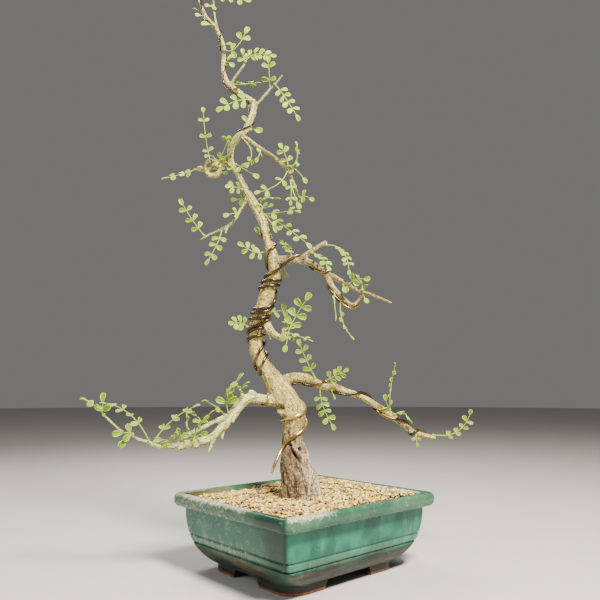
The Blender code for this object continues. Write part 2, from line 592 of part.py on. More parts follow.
def tube(points, radii, sides, name, guides):
    """A round tube along a line of points in metres, its radius given at each in millimetres."""
    curve = bpy.data.curves.new(name, "CURVE")
    curve.dimensions = "3D"
    curve.bevel_depth = MM
    curve.bevel_resolution = (sides - 4) // 2
    curve.use_fill_caps = True
    spline = curve.splines.new("POLY")
    spline.points.add(len(points) - 1)
    for place, point, radius in zip(spline.points, points, radii):
        place.co = (*point, 1)
        place.radius = radius
    guide = bpy.data.objects.new(name, curve)
    guides.objects.link(guide)
    mesh = evaluated_mesh(guide)
    bpy.data.objects.remove(guide)
    return mesh


def roughen(mesh, line):
    """Bark: each point sinks toward the limb's line by a share of the radius there, by smooth noise."""
    for corner in mesh.vertices:
        centre, radius = min(line, key=lambda place: (place[0] - corner.co).length - place[1] * MM)
        place = corner.co / (BARK_PITCH * MM)
        place.z *= BARK_STRETCH
        sunk = 0.5 + 0.5 * noise.noise(place)
        corner.co = corner.co.lerp(centre, BARK_DEPTH * sunk)


def limb_object(points, sides, name, guides):
    places = [in_front_view(*point[:3]) for point in points]
    radii = [point[3] for point in points]
    mesh = tube(places, radii, sides, name, guides)
    roughen(mesh, list(zip(places, radii)))
    return add_object(name, mesh, guides)


def build_tree(parts, guides, root):
    trunk = limb_object(TRUNK, TRUNK_SIDES, "trunk line", guides)
    limbs = [limb_object(points, THICK_SIDES, "thick limb", guides) for points in THICK_LIMBS]
    limbs += [limb_object(points, THIN_SIDES, "thin limb", guides) for points in THIN_LIMBS]
    bark = material("pale_bark", (0.56, 0.47, 0.34), 0.8)
    mesh = united(trunk, limbs, guides)
    add_object("trunk", mesh, parts, bark, root)
    return mesh


# The training wires

def limb_frame(limb, place):
    """Centre, radius and the two directions square to the limb at a place counted in its points."""
    low = min(int(place), len(limb) - 2)
    share = place - low
    start = in_front_view(*limb[low][:3])
    end = in_front_view(*limb[low + 1][:3])
    radius = limb[low][3] + (limb[low + 1][3] - limb[low][3]) * share
    near = in_front_view(*limb[max(low - 1, 0)][:3])
    far = in_front_view(*limb[min(low + 2, len(limb) - 1)][:3])
    along = (end - near).normalized().lerp((far - start).normalized(), share).normalized()
    toward = viewer_direction(0, 0, 1)
    front = (toward - along * toward.dot(along)).normalized()
    return start.lerp(end, share), radius, front, along.cross(front)


def wound_points(limb, turns, wire_radius):
    """Points of a wire wound on a limb through the given places and angles."""
    points = []
    lift = 1 / cos(WIRE_STEP / 2)
    for (place_a, angle_a), (place_b, angle_b) in zip(turns, turns[1:]):
        steps = max(1, round(abs(radians(angle_b - angle_a)) / WIRE_STEP))
        for step in range(steps):
            share = step / steps
            centre, radius, front, side = limb_frame(limb, place_a + (place_b - place_a) * share)
            angle = radians(angle_a + (angle_b - angle_a) * share)
            reach = (radius * lift + wire_radius + GAP) * MM
            points.append(centre + (front * cos(angle) + side * sin(angle)) * reach)
    return points


def surface_of(meshes):
    bm = bmesh.new()
    for mesh in meshes:
        bm.from_mesh(mesh)
    surface = BVHTree.FromBMesh(bm)
    bm.free()
    return surface


def lifted_off(surface, point, clearance):
    """The point, moved straight out wherever it lies nearer to the surface than the clearance."""
    for _ in range(4):
        found, normal, _, distance = surface.find_nearest(point)
        outside = (point - found).dot(normal) > 0
        if outside and distance >= clearance * MM:
            break
        point = found + normal * (clearance + 0.02) * MM
    return point


def bent_clear(surface, points, clearance):
    """The line's points lifted off the bark, with one more wherever a stretch between two would cut it."""
    points = [lifted_off(surface, point, clearance) for point in points]
    for _ in range(3):
        finer = [points[0]]
        for start, end in zip(points, points[1:]):
            middle = (start + end) / 2
            lifted = lifted_off(surface, middle, clearance)
            if (lifted - middle).length > LEAST_LIFT * MM:
                finer.append(lifted)
            finer.append(end)
        points = finer
    return points


def build_wires(parts, guides, root, trunk):
    copper = material("copper_wire", (0.30, 0.17, 0.10), 0.35, 1.0)
    surface = surface_of([trunk])
    meshes = []
    for name, (radius, free, stretches) in WIRES.items():
        points = [in_front_view(*point) for point in free]
        for limb, turns in stretches:
            points += wound_points(limb, turns, radius)
        points = bent_clear(surface, points, radius + WIRE_CLEARANCE)
        meshes.append(tube(points, [radius] * len(points), WIRE_SIDES, name, guides))
        add_object(name, meshes[-1], parts, copper, root)
    return meshes


# The leaves

def leaf_solid(base, bend, tip, facing, pairs, leaflet, surface, guides):
    """A pinnate leaf cut to its rib in one thin arched blade: paired leaflets and one at the tip."""
    control = 2 * bend - (base + tip) / 2
    length = (bend - base).length + (tip - bend).length
    rib_end = 1 - leaflet * MM / length
    half_rib = RIB_WIDTH / 2 * MM
    half_stalk = min(LONGEST_STALK_SHARE, half_rib / length)
    bm = bmesh.new()

    def frame(share):
        share *= rib_end
        point = (1 - share) ** 2 * base + 2 * share * (1 - share) * control + share ** 2 * tip
        along = ((1 - share) * (control - base) + share * (tip - control)).normalized()
        side = facing.cross(along).normalized()
        return point, along, side, along.cross(side)

    def place(point, clearance=LEAF_CLEARANCE):
        return bm.verts.new(lifted_off(surface, point, clearance))

    def rib_pair(share, clearance=LEAF_CLEARANCE):
        point, _, side, _ = frame(share)
        return place(point + side * half_rib, clearance), place(point - side * half_rib, clearance)

    def add_leaflet(share, start, end, sign):
        point, along, side, over = frame(share)
        if sign == 0:
            out, cross = along, side
        else:
            out = along * cos(LEAFLET_ANGLE) + side * sign * sin(LEAFLET_ANGLE)
            cross = -along * sin(LEAFLET_ANGLE) + side * sign * cos(LEAFLET_ANGLE)
        rim = []
        for reach, aside in LEAFLET_RIM:
            drop = over * LEAFLET_DROOP * reach ** 2
            rim.append(place(point + (out * reach + cross * aside - drop) * leaflet * MM))
        bm.faces.new([end, *rim, start])

    last = rib_pair(0, SEAT)
    for pair in range(pairs):
        share = PETIOLE_SHARE + (LAST_PAIR_SHARE - PETIOLE_SHARE) * pair / max(pairs - 1, 1)
        low = rib_pair(share - half_stalk)
        high = rib_pair(share + half_stalk)
        bm.faces.new([last[0], low[0], low[1], last[1]])
        bm.faces.new([low[0], high[0], high[1], low[1]])
        add_leaflet(share, high[0], low[0], 1)
        add_leaflet(share, high[1], low[1], -1)
        last = high
    end = rib_pair(1)
    bm.faces.new([last[0], end[0], end[1], last[1]])
    add_leaflet(1, end[1], end[0], 0)
    bmesh.ops.triangulate(bm, faces=bm.faces)
    bmesh.ops.recalc_face_normals(bm, faces=bm.faces)
    bmesh.ops.solidify(bm, geom=bm.faces, thickness=LEAF_THICK * MM)
    return add_object("leaf", mesh_from(bm, "leaf"), guides)


def bud_object(centre, guides):
    bm = bmesh.new()
    where = Matrix.Translation(centre)
    bmesh.ops.create_icosphere(bm, subdivisions=1, radius=BUD_RADIUS * MM, matrix=where)
    return add_object("bud", mesh_from(bm, "bud"), guides)


def build_sprays(parts, guides, root, wood):
    """Each spray is one body: a leaf alone is seated on the bark, more leaves share a bud there."""
    green = material("leaf_green", (0.22, 0.34, 0.10), 0.5)
    surface = surface_of(wood)
    for name, bud, leaves in SPRAYS:
        found, normal, _, _ = surface.find_nearest(in_front_view(*bud))
        base = found + normal * (SEAT if len(leaves) == 1 else BUD_RADIUS + GAP) * MM
        blades = [
            leaf_solid(base, in_front_view(*bend), in_front_view(*tip), viewer_direction(*FACINGS[facing]),
                       pairs, leaflet, surface, guides)
            for bend, tip, facing, pairs, leaflet in leaves
        ]
        if len(blades) == 1:
            mesh = evaluated_mesh(blades[0])
            bpy.data.objects.remove(blades[0])
        else:
            mesh = united(bud_object(base, guides), blades, guides, "MANIFOLD")
        add_object("spray_" + name, mesh, parts, green, root)


def centre_on_origin(parts, root):
    """The origin is the middle of the whole object's box, at the foot."""
    bpy.context.view_layer.update()
    graph = bpy.context.evaluated_depsgraph_get()
    corners = []
    for piece in parts.objects:
        if piece.type == "MESH":
            corners += [vertex.co.copy() for vertex in piece.evaluated_get(graph).data.vertices]
    for axis in range(2):
        low = min(corner[axis] for corner in corners)
        high = max(corner[axis] for corner in corners)
        root.location[axis] = -(low + high) / 2


def main():
    for old in list(bpy.data.objects):
        bpy.data.objects.remove(old)
    parts = bpy.data.collections.new("operculicarya_bonsai")
    guides = bpy.data.collections.new("guides")
    bpy.context.scene.collection.children.link(parts)
    bpy.context.scene.collection.children.link(guides)
    root = bpy.data.objects.new("bonsai", None)
    parts.objects.link(root)
    build_pot(parts, guides, root)
    build_drain_screens(parts, guides, root)
    build_soil(parts, root)
    trunk = build_tree(parts, guides, root)
    wires = build_wires(parts, guides, root, trunk)
    build_sprays(parts, guides, root, [trunk, *wires])
    guides.hide_render = True
    centre_on_origin(parts, root)


main()
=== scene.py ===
"""Operculicarya bonsai: the finished glaze, grit, bark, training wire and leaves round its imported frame.

Lists are in millimetres. The tree's points are (across, up, toward) as its front is seen: to the viewer's
right, up from the rim's top and toward the viewer, from the middle of the pot.
"""

import random
from math import cos, pi, radians, sin

import bmesh
import bpy
import numpy as np
from bpy.props import FloatProperty, FloatVectorProperty, IntProperty, PointerProperty
from mathutils import Matrix, Vector, noise
from mathutils.bvhtree import BVHTree


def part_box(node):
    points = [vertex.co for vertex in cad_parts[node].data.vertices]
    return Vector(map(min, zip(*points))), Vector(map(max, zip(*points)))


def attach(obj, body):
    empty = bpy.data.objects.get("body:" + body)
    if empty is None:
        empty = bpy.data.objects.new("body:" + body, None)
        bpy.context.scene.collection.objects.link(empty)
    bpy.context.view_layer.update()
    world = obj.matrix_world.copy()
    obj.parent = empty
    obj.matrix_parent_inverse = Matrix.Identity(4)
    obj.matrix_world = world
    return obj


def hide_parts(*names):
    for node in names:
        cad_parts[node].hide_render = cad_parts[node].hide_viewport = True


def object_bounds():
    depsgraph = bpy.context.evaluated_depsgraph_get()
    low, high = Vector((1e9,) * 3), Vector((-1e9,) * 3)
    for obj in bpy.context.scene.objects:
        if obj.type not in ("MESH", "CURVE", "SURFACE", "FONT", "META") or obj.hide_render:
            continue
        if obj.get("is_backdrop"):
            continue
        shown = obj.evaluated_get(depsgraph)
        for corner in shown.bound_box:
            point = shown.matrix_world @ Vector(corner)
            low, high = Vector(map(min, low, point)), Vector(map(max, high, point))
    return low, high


bl_info = {
    "name": "Operculicarya Bonsai",
    "version": (1, 0, 0),
    "blender": (4, 5, 0),
    "location": "View3D > Sidebar > Bonsai",
    "description": "Finishes a wired bonsai in a glazed pot",
    "category": "Object",
}

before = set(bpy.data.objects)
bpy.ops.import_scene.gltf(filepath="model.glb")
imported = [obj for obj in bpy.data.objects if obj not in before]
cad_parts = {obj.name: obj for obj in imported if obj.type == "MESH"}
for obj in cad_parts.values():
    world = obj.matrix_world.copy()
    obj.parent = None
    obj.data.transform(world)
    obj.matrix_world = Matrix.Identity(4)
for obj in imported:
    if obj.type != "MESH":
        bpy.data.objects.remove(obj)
CAD_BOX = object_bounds()

MM = 0.001
BODY = "root"
FRONT_TURN = radians(41.8)  # from the pot's long side to the viewer's right
POT_LOW, POT_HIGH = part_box("pot")
POT_HEIGHT = (POT_HIGH.z - POT_LOW.z) / MM
RIM_LENGTH = (POT_HIGH.x - POT_LOW.x) / MM
RIM_WIDTH = (POT_HIGH.y - POT_LOW.y) / MM
POT_MIDDLE = Vector(((POT_LOW.x + POT_HIGH.x) / 2, (POT_LOW.y + POT_HIGH.y) / 2, 0))

# The pot: (inset from the rim's outline, depth below the rim's top, corner radius)
POT_OUTSIDE = [
    (27.5, 57.5, 19.0), (22.6, 55.6, 16.8), (18.0, 51.0, 13.5), (14.9, 46.0, 10.5), (13.2, 42.0, 8.3),
    (14.0, 41.0, 7.8), (12.6, 39.8, 7.3), (11.4, 35.4, 6.3), (12.1, 34.2, 6.0), (10.8, 33.0, 5.6),
    (9.0, 22.5, 5.0), (8.4, 14.3, 5.0), (8.2, 12.1, 5.5), (3.4, 11.2, 7.0), (0.9, 9.3, 8.0),
    (0.0, 5.6, 8.0), (0.5, 1.8, 8.0), (2.6, 0.0, 7.5), (6.8, 0.3, 7.0),
]
POT_INSIDE = [
    (9.4, 2.4, 8.0), (12.2, 9.0, 8.0), (13.6, 20.0, 8.0), (17.0, 36.0, 10.0), (21.0, 46.0, 12.0),
    (28.0, 50.5, 14.0),
]
FOOT_REACH = 37.0
FOOT_WALL = 12.0
FOOT_INSET = 25.5
FOOT_RADIUS = 20.0
FOOT_SPREAD = 5.0
FOOT_FILLET = 4.0
FOOT_RISE = 12.5
DRAIN_RADIUS = 8.0
DRAIN_X = 34.0
DRAIN_Y = 14.0

# The woody limbs: (across, up, toward, radius)
TRUNK = [
    (-4, -34, 2, 9), (-4, -22, 2, 16), (-4, -6, 2, 19.5), (-4, 5, 2, 19), (-5, 13, 2, 18),
    (-7, 21, 2, 16.5), (-8, 28, 2, 14.8), (-9, 36, 2, 12.8), (-11, 44, 2, 10.6),
    (-11, 51, 1, 10.8), (-10, 59, 0, 11.2),
    (-10, 68, 0, 12), (-16, 80, 0, 12.6), (-24, 93, -2, 11.5), (-32, 106, -4, 8.4), (-40, 117, -6, 7.6),
    (-45, 129, -7, 7.5), (-46, 140, -7, 7.4), (-45, 151, -5, 8.2), (-41, 163, -2, 8.3), (-37, 175, 1, 7.9),
    (-33, 187, 4, 7.7), (-28, 200, 6, 6.9), (-29, 213, 7, 6.3), (-33, 226, 7, 5), (-36, 239, 5, 4.8),
    (-40, 253, 2, 4.8), (-47, 267, -1, 4.7), (-53, 279, -4, 4.2), (-60, 291, -6, 3.5), (-66, 304, -6, 3.1),
    (-72, 314, -4, 3.1), (-73, 323, -1, 3.6), (-71, 330, 3, 4), (-65, 336, 6, 3.9), (-57, 343, 9, 3.6),
    (-53, 352, 10, 3.3), (-50, 363, 9, 3.4), (-50, 372, 8, 3.2), (-58, 379, 6, 2.9), (-67, 387, 3, 3.1),
    (-76, 396, 0, 3.1), (-81, 407, -2, 2.8), (-82, 420, -3, 2.6), (-82, 433, -2, 2.5), (-84, 444, 0, 2.4),
    (-87, 451, 2, 2.3), (-93, 460, 3, 2), (-100, 469, 4, 1.7), (-105, 480, 4, 1.6), (-109, 492, 3, 1.4),
    (-111, 503, 2, 1),
]
LOW_LEFT = [
    (-17, 79, 0, 6), (-30, 81, 3, 5), (-39, 83, 8, 4.6), (-48, 84, 14, 4.8), (-55, 81, 19, 5.2),
    (-61, 73, 23, 4.6), (-65, 67, 26, 4.5), (-73, 58, 30, 3.8), (-79, 51, 33, 3.8), (-87, 48, 36, 3.9),
    (-97, 46, 38, 4), (-107, 44, 39, 3.3), (-116, 44, 40, 2.6), (-124, 44, 42, 1.8),
    (-132, 48, 44, 1.4), (-139, 50, 46, 1.3), (-144, 53, 48, 1.1), (-154, 58, 50, 1.1),
    (-163, 66, 51, 1.1), (-167, 70, 52, 0.9),
]
LOW_RIGHT = [
    (-22, 97, -2, 6), (-16, 101, -4, 5.2), (-8, 103, -7, 4.8), (2, 102, -10, 4.6), (10, 99, -13, 4.3),
    (19, 95, -16, 4.1), (29, 94, -18, 3.9), (39, 90, -20, 3.7), (50, 87, -22, 3.4), (61, 82, -24, 3.2),
    (70, 76, -26, 3.4), (80, 70, -28, 3.5), (90, 63, -30, 3.2), (99, 56, -32, 3), (106, 51, -33, 2.9),
    (115, 48, -35, 2.7), (123, 46, -36, 2.4), (128, 45, -36, 2),
]
HIGH_RIGHT = [
    (-28, 211, 7, 6), (-20, 212, 10, 4.8), (-12, 212, 13, 4.2), (-4, 210, 16, 3.6), (3, 209, 18, 3.2),
    (11, 204, 20, 3), (19, 198, 22, 2.9), (27, 193, 24, 2.8), (35, 188, 26, 2.6), (43, 183, 27, 2.2),
    (51, 179, 28, 1.9), (60, 176, 29, 1.7), (69, 172, 30, 1.5), (78, 168, 31, 1),
]
HIGH_FORK = [
    (18, 197, 22, 2.8), (25, 185, 24, 2.7), (30, 178, 26, 2.6), (36, 171, 27, 2.6), (41, 167, 28, 2.4),
    (45, 167, 29, 1.8), (49, 171, 29, 1.6), (52, 175, 29, 1.4),
]
DIAGONAL = [
    (-63, 337, 7, 2.6), (-56, 334, 9, 2), (-47, 326, 12, 1.9), (-37, 318, 15, 1.9), (-28, 310, 18, 2.1),
    (-20, 302, 20, 2.2), (-15, 297, 22, 2), (-12, 288, 23, 1.5), (-8, 278, 24, 1.4), (-5, 269, 25, 1.2),
    (-3, 262, 26, 0.9),
]
LOW_LEFT_TWIGS = [
    [(-66, 69, 26, 3), (-78, 64, 30, 2.2), (-86, 60, 33, 2), (-94, 56, 36, 1.9), (-101, 53, 39, 1.8),
     (-108, 48, 40, 1.6)],
    [(-68, 65, 27, 2), (-70, 57, 28, 1.4), (-72, 49, 29, 1.2)],
    [(-77, 51, 33, 2), (-80, 43, 35, 1.7), (-82, 38, 36, 1.5)],
    [(-54, 82, 20, 2.5), (-56, 88, 20, 1.6), (-58, 92, 20, 1)],
]
TRUNK_TWIGS = [
    [(-40, 158, -3, 4.5), (-34, 152, 1, 3.6), (-31, 146, 5, 3.2), (-26, 141, 9, 3.2), (-21, 139, 12, 3.2),
     (-17, 140, 14, 3.4), (-14, 141, 15, 2.2)],
    [(-18, 139, 14, 3), (-19, 144, 15, 2.3), (-19, 147, 15, 1.8)],
    [(-38, 154, 1, 2.6), (-33, 143, 5, 1.4), (-31, 137, 7, 0.8)],
]
HIGH_STUB = [
    (-3, 211, 16, 3.2), (5, 218, 18, 2.7), (12, 222, 19, 2.6), (17, 225, 20, 2.6), (21, 227, 20, 2.3),
]
UPPER_TWIGS = [
    [(-55, 279, -3, 2.6), (-60, 269, -3, 2), (-64, 262, -2, 1.9), (-68, 254, -1, 1.8), (-74, 248, 0, 1.8),
     (-81, 244, 1, 1.5), (-91, 239, 2, 1.4), (-95, 237, 2, 1.3), (-100, 233, 3, 1.1)],
    [(-74, 248, 0, 1.4), (-75, 243, 2, 1.3), (-76, 240, 3, 1.2)],
    [(-72, 319, -3, 2.4), (-80, 316, -8, 2.6), (-88, 312, -11, 2.7), (-96, 311, -14, 2.9),
     (-104, 312, -17, 2), (-110, 314, -20, 1.5)],
    [(-50, 369, 8, 2.4), (-44, 372, 9, 1.9), (-38, 379, 11, 1.6), (-32, 385, 13, 1.4), (-26, 391, 15, 1.1),
     (-21, 397, 16, 1)],
    [(-74, 394, 0, 2.4), (-71, 400, 1, 1.7), (-66, 407, 3, 1.5), (-61, 413, 5, 1.3), (-59, 417, 5, 1)],
]
TOP_SHOOT = [
    (-88, 453, 2, 1.8), (-91, 467, 1, 1.3), (-93, 479, -1, 1.2), (-94, 491, -2, 1.1), (-96, 504, -4, 0.9),
    (-97, 514, -5, 0.8),
]

# Training wires: free end points, then (limb, [(place along the limb's points, degrees round it)])
WIRE_RADIUS = 1.15
FINE_WIRE_RADIUS = 0.75
WIRES = {
    "wire_low": (WIRE_RADIUS, [(-29, 19, 20), (-26, 27, 19)], [
        (TRUNK, [(7.8, -50), (8.5, 0), (9.5, 50), (10.4, 90), (10.7, 180), (10.9, 270), (10.85, 360),
                 (11.05, 425), (11.4, 460), (11.9, 485), (12.4, 540)]),
        (LOW_LEFT, [(1.3, 160), (1.45, 90), (1.6, 0), (1.75, -90), (2.1, -150)]),
    ]),
    "wire_trunk": (WIRE_RADIUS, [], [
        (TRUNK, [(14.2, -70), (14.65, -30), (14.8, 0), (15.1, 40), (15.45, 90), (16.2, 180), (16.85, 270),
                 (17.2, 360), (17.3, 450), (17.4, 540), (17.55, 630), (18.15, 720), (18.8, 810), (18.8, 900),
                 (18.8, 990), (19.1, 1080), (19.75, 1170), (20.25, 1260), (20.6, 1350), (21.15, 1440),
                 (21.35, 1530), (21.45, 1620), (21.6, 1710), (21.85, 1755), (22.1, 1800), (22.25, 1840)]),
        (HIGH_RIGHT, [(1.4, 55), (2.1, 10), (2.6, -50), (3.2, -95), (4.05, -180), (4.95, -270), (5.4, -290),
                      (5.9, -320), (6.3, -365), (6.4, -440), (6.5, -520)]),
        (HIGH_FORK, [(0.9, -590), (1.4, -625), (2, -630), (3, -630), (4, -620), (5, -615), (6, -600),
                     (6.6, -590)]),
    ]),
    "wire_trunk_second": (WIRE_RADIUS, [], [
        (TRUNK, [(14.7, -90), (15.2, -45), (15.5, 0), (15.9, 30), (16.6, 90), (17, 180), (17.25, 270),
                 (17.85, 360), (18.4, 450), (18.35, 540), (18.3, 630), (18.7, 720), (19.1, 810), (19.1, 900),
                 (19.15, 990), (19.4, 1080), (20.05, 1170), (20.65, 1190), (21.1, 1215), (21.1, 1260),
                 (21.1, 1350), (21.6, 1440), (21.6, 1530), (22, 1620), (22.4, 1700), (23.35, 1730),
                 (23.65, 1800), (24, 1890), (24.65, 1980), (24.9, 2070), (25.2, 2110)]),
    ]),
    "wire_low_right": (WIRE_RADIUS, [], [
        (LOW_RIGHT, [(1.5, 95), (2.45, 90), (3.25, 85), (3.9, 60), (4.25, 20), (4.5, -20), (4.9, -80),
                     (5.5, -180), (5.75, -260), (6.25, -285), (6.9, -305), (7.4, -335), (7.85, -370),
                     (8.3, -420), (8.8, -450), (9.3, -490), (9.75, -540), (10.05, -625), (10.55, -645),
                     (11.25, -670), (11.8, -710), (12.35, -755), (12.9, -805), (13.6, -900), (13.8, -980),
                     (13.9, -1040), (14, -1085), (14.2, -1140), (14.75, -1170), (15.4, -1215),
                     (15.8, -1290)]),
    ]),
    "wire_apex": (FINE_WIRE_RADIUS, [], [
        (TRUNK, [(34.45, -80), (35.1, 0), (35.9, 90), (36.4, 180), (36.7, 270), (37.95, 285), (39.45, 275),
                 (40.3, 270), (41, 275), (41.5, 290), (41.9, 360), (42.7, 420), (43.35, 470), (43.9, 560),
                 (44.2, 630), (44.9, 650), (45.45, 720), (45.9, 790), (46.7, 880), (47.3, 960), (48, 1000),
                 (48.7, 1060), (49.45, 1130), (50.2, 1170)]),
    ]),
}

# Leaves: a spray's name, its bud, and each leaf as (a point it passes, its tip, the way its blade faces,
# pairs of leaflets, leaflet length)
SPRAYS = [
    ("far_left_tip", (-167, 70, 52), [
        ((-174, 78, 56), (-186, 84, 62), "up", 2, 8),
        ((-168, 79, 55), (-168, 89, 56), "front", 1, 8),
    ]),
    ("far_left_arch", (-131, 49, 45), [((-150, 72, 44), (-174, 80, 43), "up", 4, 6.5)]),
    ("far_left_low", (-144, 54, 49), [
        ((-149, 56, 54), (-159, 54, 58), "front", 1, 8),
        ((-148, 50, 52), (-151, 44, 52), "front", 0, 9),
    ]),
    ("low_left_bow", (-127, 48, 44), [((-113, 66, 36), (-91, 79, 30), "up", 3, 7)]),
    ("low_left_stalk", (-100, 55, 41), [((-99, 64, 46), (-101, 78, 50), "left", 2, 7)]),
    ("low_left_mid", (-90, 60, 36), [
        ((-84, 68, 43), (-75, 73, 49), "up", 1, 8),
        ((-92, 67, 30), (-102, 71, 24), "up", 1, 7),
    ]),
    ("low_left_cluster", (-92, 52, 40), [
        ((-95, 53, 48), (-101, 54, 56), "front", 1, 7),
        ((-88, 54, 44), (-82, 53, 50), "front", 0, 8),
    ]),
    ("fork_arch", (-70, 70, 29), [((-79, 78, 33), (-87, 82, 38), "up", 1, 7)]),
    ("upright_large", (-67, 73, 29), [((-66, 89, 31), (-51, 105, 34), "up", 4, 9.5)]),
    ("right_sprig", (9, 102, -10), [
        ((2, 119, -6), (-6, 139, -2), "front", 3, 7),
        ((8, 108, -16), (2, 113, -24), "front", 0, 8),
    ]),
    ("right_up", (21, 100, -13), [((30, 105, -9), (43, 111, -5), "front", 3, 6.5)]),
    ("right_hanging", (15, 92, -13), [((18, 75, -9), (29, 54, -5), "front", 4, 6.5)]),
    ("right_upright", (83, 73, -26), [
        ((84, 94, -24), (89, 118, -20), "right", 5, 5.5),
        ((79, 79, -20), (78, 87, -16), "front", 1, 7.5),
    ]),
    ("right_run", (88, 68, -27), [((96, 69, -23), (104, 57, -26), "up", 2, 6.5)]),
    ("right_tip", (126, 48, -36), [((150, 52, -33), (163, 74, -30), "steep", 4, 6)]),
    ("mid_left", (-54, 150.5, 0), [((-61, 153, 7), (-71, 150, 14), "front", 3, 7)]),
    ("mid_back", (-33, 164, -7), [((-24, 167, -13), (-11, 167, -17), "front", 2, 7)]),
    ("mid_large", (-14, 142, 17), [
        ((-7, 159, 19), (7, 180, 24), "front", 3, 9),
        ((-4, 139, 20), (8, 134, 24), "up", 2, 6),
        ((-16, 134, 20), (-18, 126, 24), "front", 1, 6.5),
    ]),
    ("high_bow", (20, 225, 21), [((36, 216, 25), (40, 191, 36), "up", 5, 5.5)]),
    ("high_inner", (7, 217, 20), [((16, 210, 26), (23, 196, 34), "up", 3, 6.5)]),
    ("high_tuft", (41, 186, 29), [((48, 189, 36), (59, 186, 43), "front", 1, 7)]),
    ("high_spike", (52, 180, 30), [
        ((51, 188, 27), (46, 196, 24), "right", 2, 5.5),
        ((54, 181, 34), (52, 185, 38), "up", 0, 6),
    ]),
    ("fork_hanging", (33, 171, 28), [((34, 151, 31), (44, 135, 34), "right", 4, 5.5)]),
    ("back_arch", (-12, 215, 12), [((-16, 225, 7), (-24, 235, 2), "up", 3, 5.5)]),
    ("long_arch", (-37, 259, 5), [
        ((-17, 242, 16), (7, 219, 32), "steep", 4, 7.5),
        ((-32, 249, 12), (-24, 238, 17), "front", 0, 9),
        ((-22, 258, 13), (-2, 259, 18), "steep", 2, 7.5),
    ]),
    ("trunk_left", (-37, 222, 5), [((-48, 220, 12), (-63, 229, 18), "front", 3, 7)]),
    ("shoot_right", (-44, 268, 1), [
        ((-37, 274, 7), (-19, 271, 12), "up", 2, 6),
        ((-37, 264, 8), (-31, 268, 12), "front", 1, 6),
    ]),
    ("left_cluster", (-60, 287, -4), [((-67, 287, 2), (-78, 286, 8), "front", 2, 6.5)]),
    ("twig_end", (-96, 238, 3), [((-107, 252, 7), (-120, 273, 11), "front", 3, 7)]),
    ("twig_hang", (-80, 243, 2), [((-84, 227, 6), (-94, 206, 10), "front", 3, 7)]),
    ("diagonal_start", (-60, 335, 9), [((-51, 318, 13), (-56, 302, 17), "right", 2, 6)]),
    ("diagonal_crown", (-15, 300, 23), [
        ((-18, 310, 26), (-24, 321, 29), "front", 2, 6.5),
        ((-7, 304, 28), (-9, 325, 32), "right", 2, 6),
        ((-6, 292, 30), (2, 279, 34), "front", 1, 7),
    ]),
    ("diagonal_left", (-17, 294, 22), [((-27, 280, 25), (-48, 271, 29), "front", 2, 7)]),
    ("diagonal_hanging", (-12, 285, 24), [
        ((-12, 272, 29), (-13, 258, 33), "front", 2, 5.5),
        ((-9, 269, 30), (-4, 255, 35), "front", 0, 9),
    ]),
    ("diagonal_end", (-3, 268, 28), [((2, 267, 32), (9, 261, 35), "front", 1, 6)]),
    ("knot_up", (-93, 314, -11), [((-99, 342, -8), (-102, 374, -4), "front", 3, 6)]),
    ("knot_end", (-113, 314, -20), [((-124, 309, -20), (-149, 302, -18), "steep", 3, 8.5)]),
    ("trunk_right", (-67, 313, -3), [((-57, 304, 3), (-44, 295, 8), "front", 1, 7.5)]),
    ("bend_pair", (-49, 342, 9), [
        ((-47, 341, 14), (-41, 337, 17), "front", 0, 9.5),
        ((-52, 343, 19), (-61, 350, 23), "front", 0, 8),
    ]),
    ("upper_left", (-51, 373, 13), [((-67, 369, 16), (-86, 356, 19), "front", 3, 8.5)]),
    ("twig_up", (-35, 387, 16), [((-34, 396, 22), (-35, 412, 26), "front", 2, 7)]),
    ("twig_out", (-29, 388, 15), [((-18, 371, 19), (-4, 345, 23), "front", 4, 7)]),
    ("up_run", (-59, 417, 6), [
        ((-46, 423, 10), (-26, 416, 14), "front", 4, 7),
        ((-61, 422, 9), (-60, 430, 12), "front", 1, 7),
    ]),
    ("top_right", (-79, 433, 0), [((-67, 436, 4), (-55, 459, 8), "front", 2, 8.5)]),
    ("between", (-71, 393, 3), [((-58, 392, 8), (-41, 392, 12), "up", 2, 8)]),
    ("top_edge", (-94, 495, -2), [((-75, 491, 2), (-53, 483, 6), "front", 3, 7.5)]),
    ("leader_crown", (-111, 503, 2), [((-115, 513, 3), (-124, 524, 5), "front", 3, 7)]),
    ("shoot_crown", (-97, 514, -5), [((-95, 528, -4), (-89, 542, -2), "front", 3, 7)]),
]
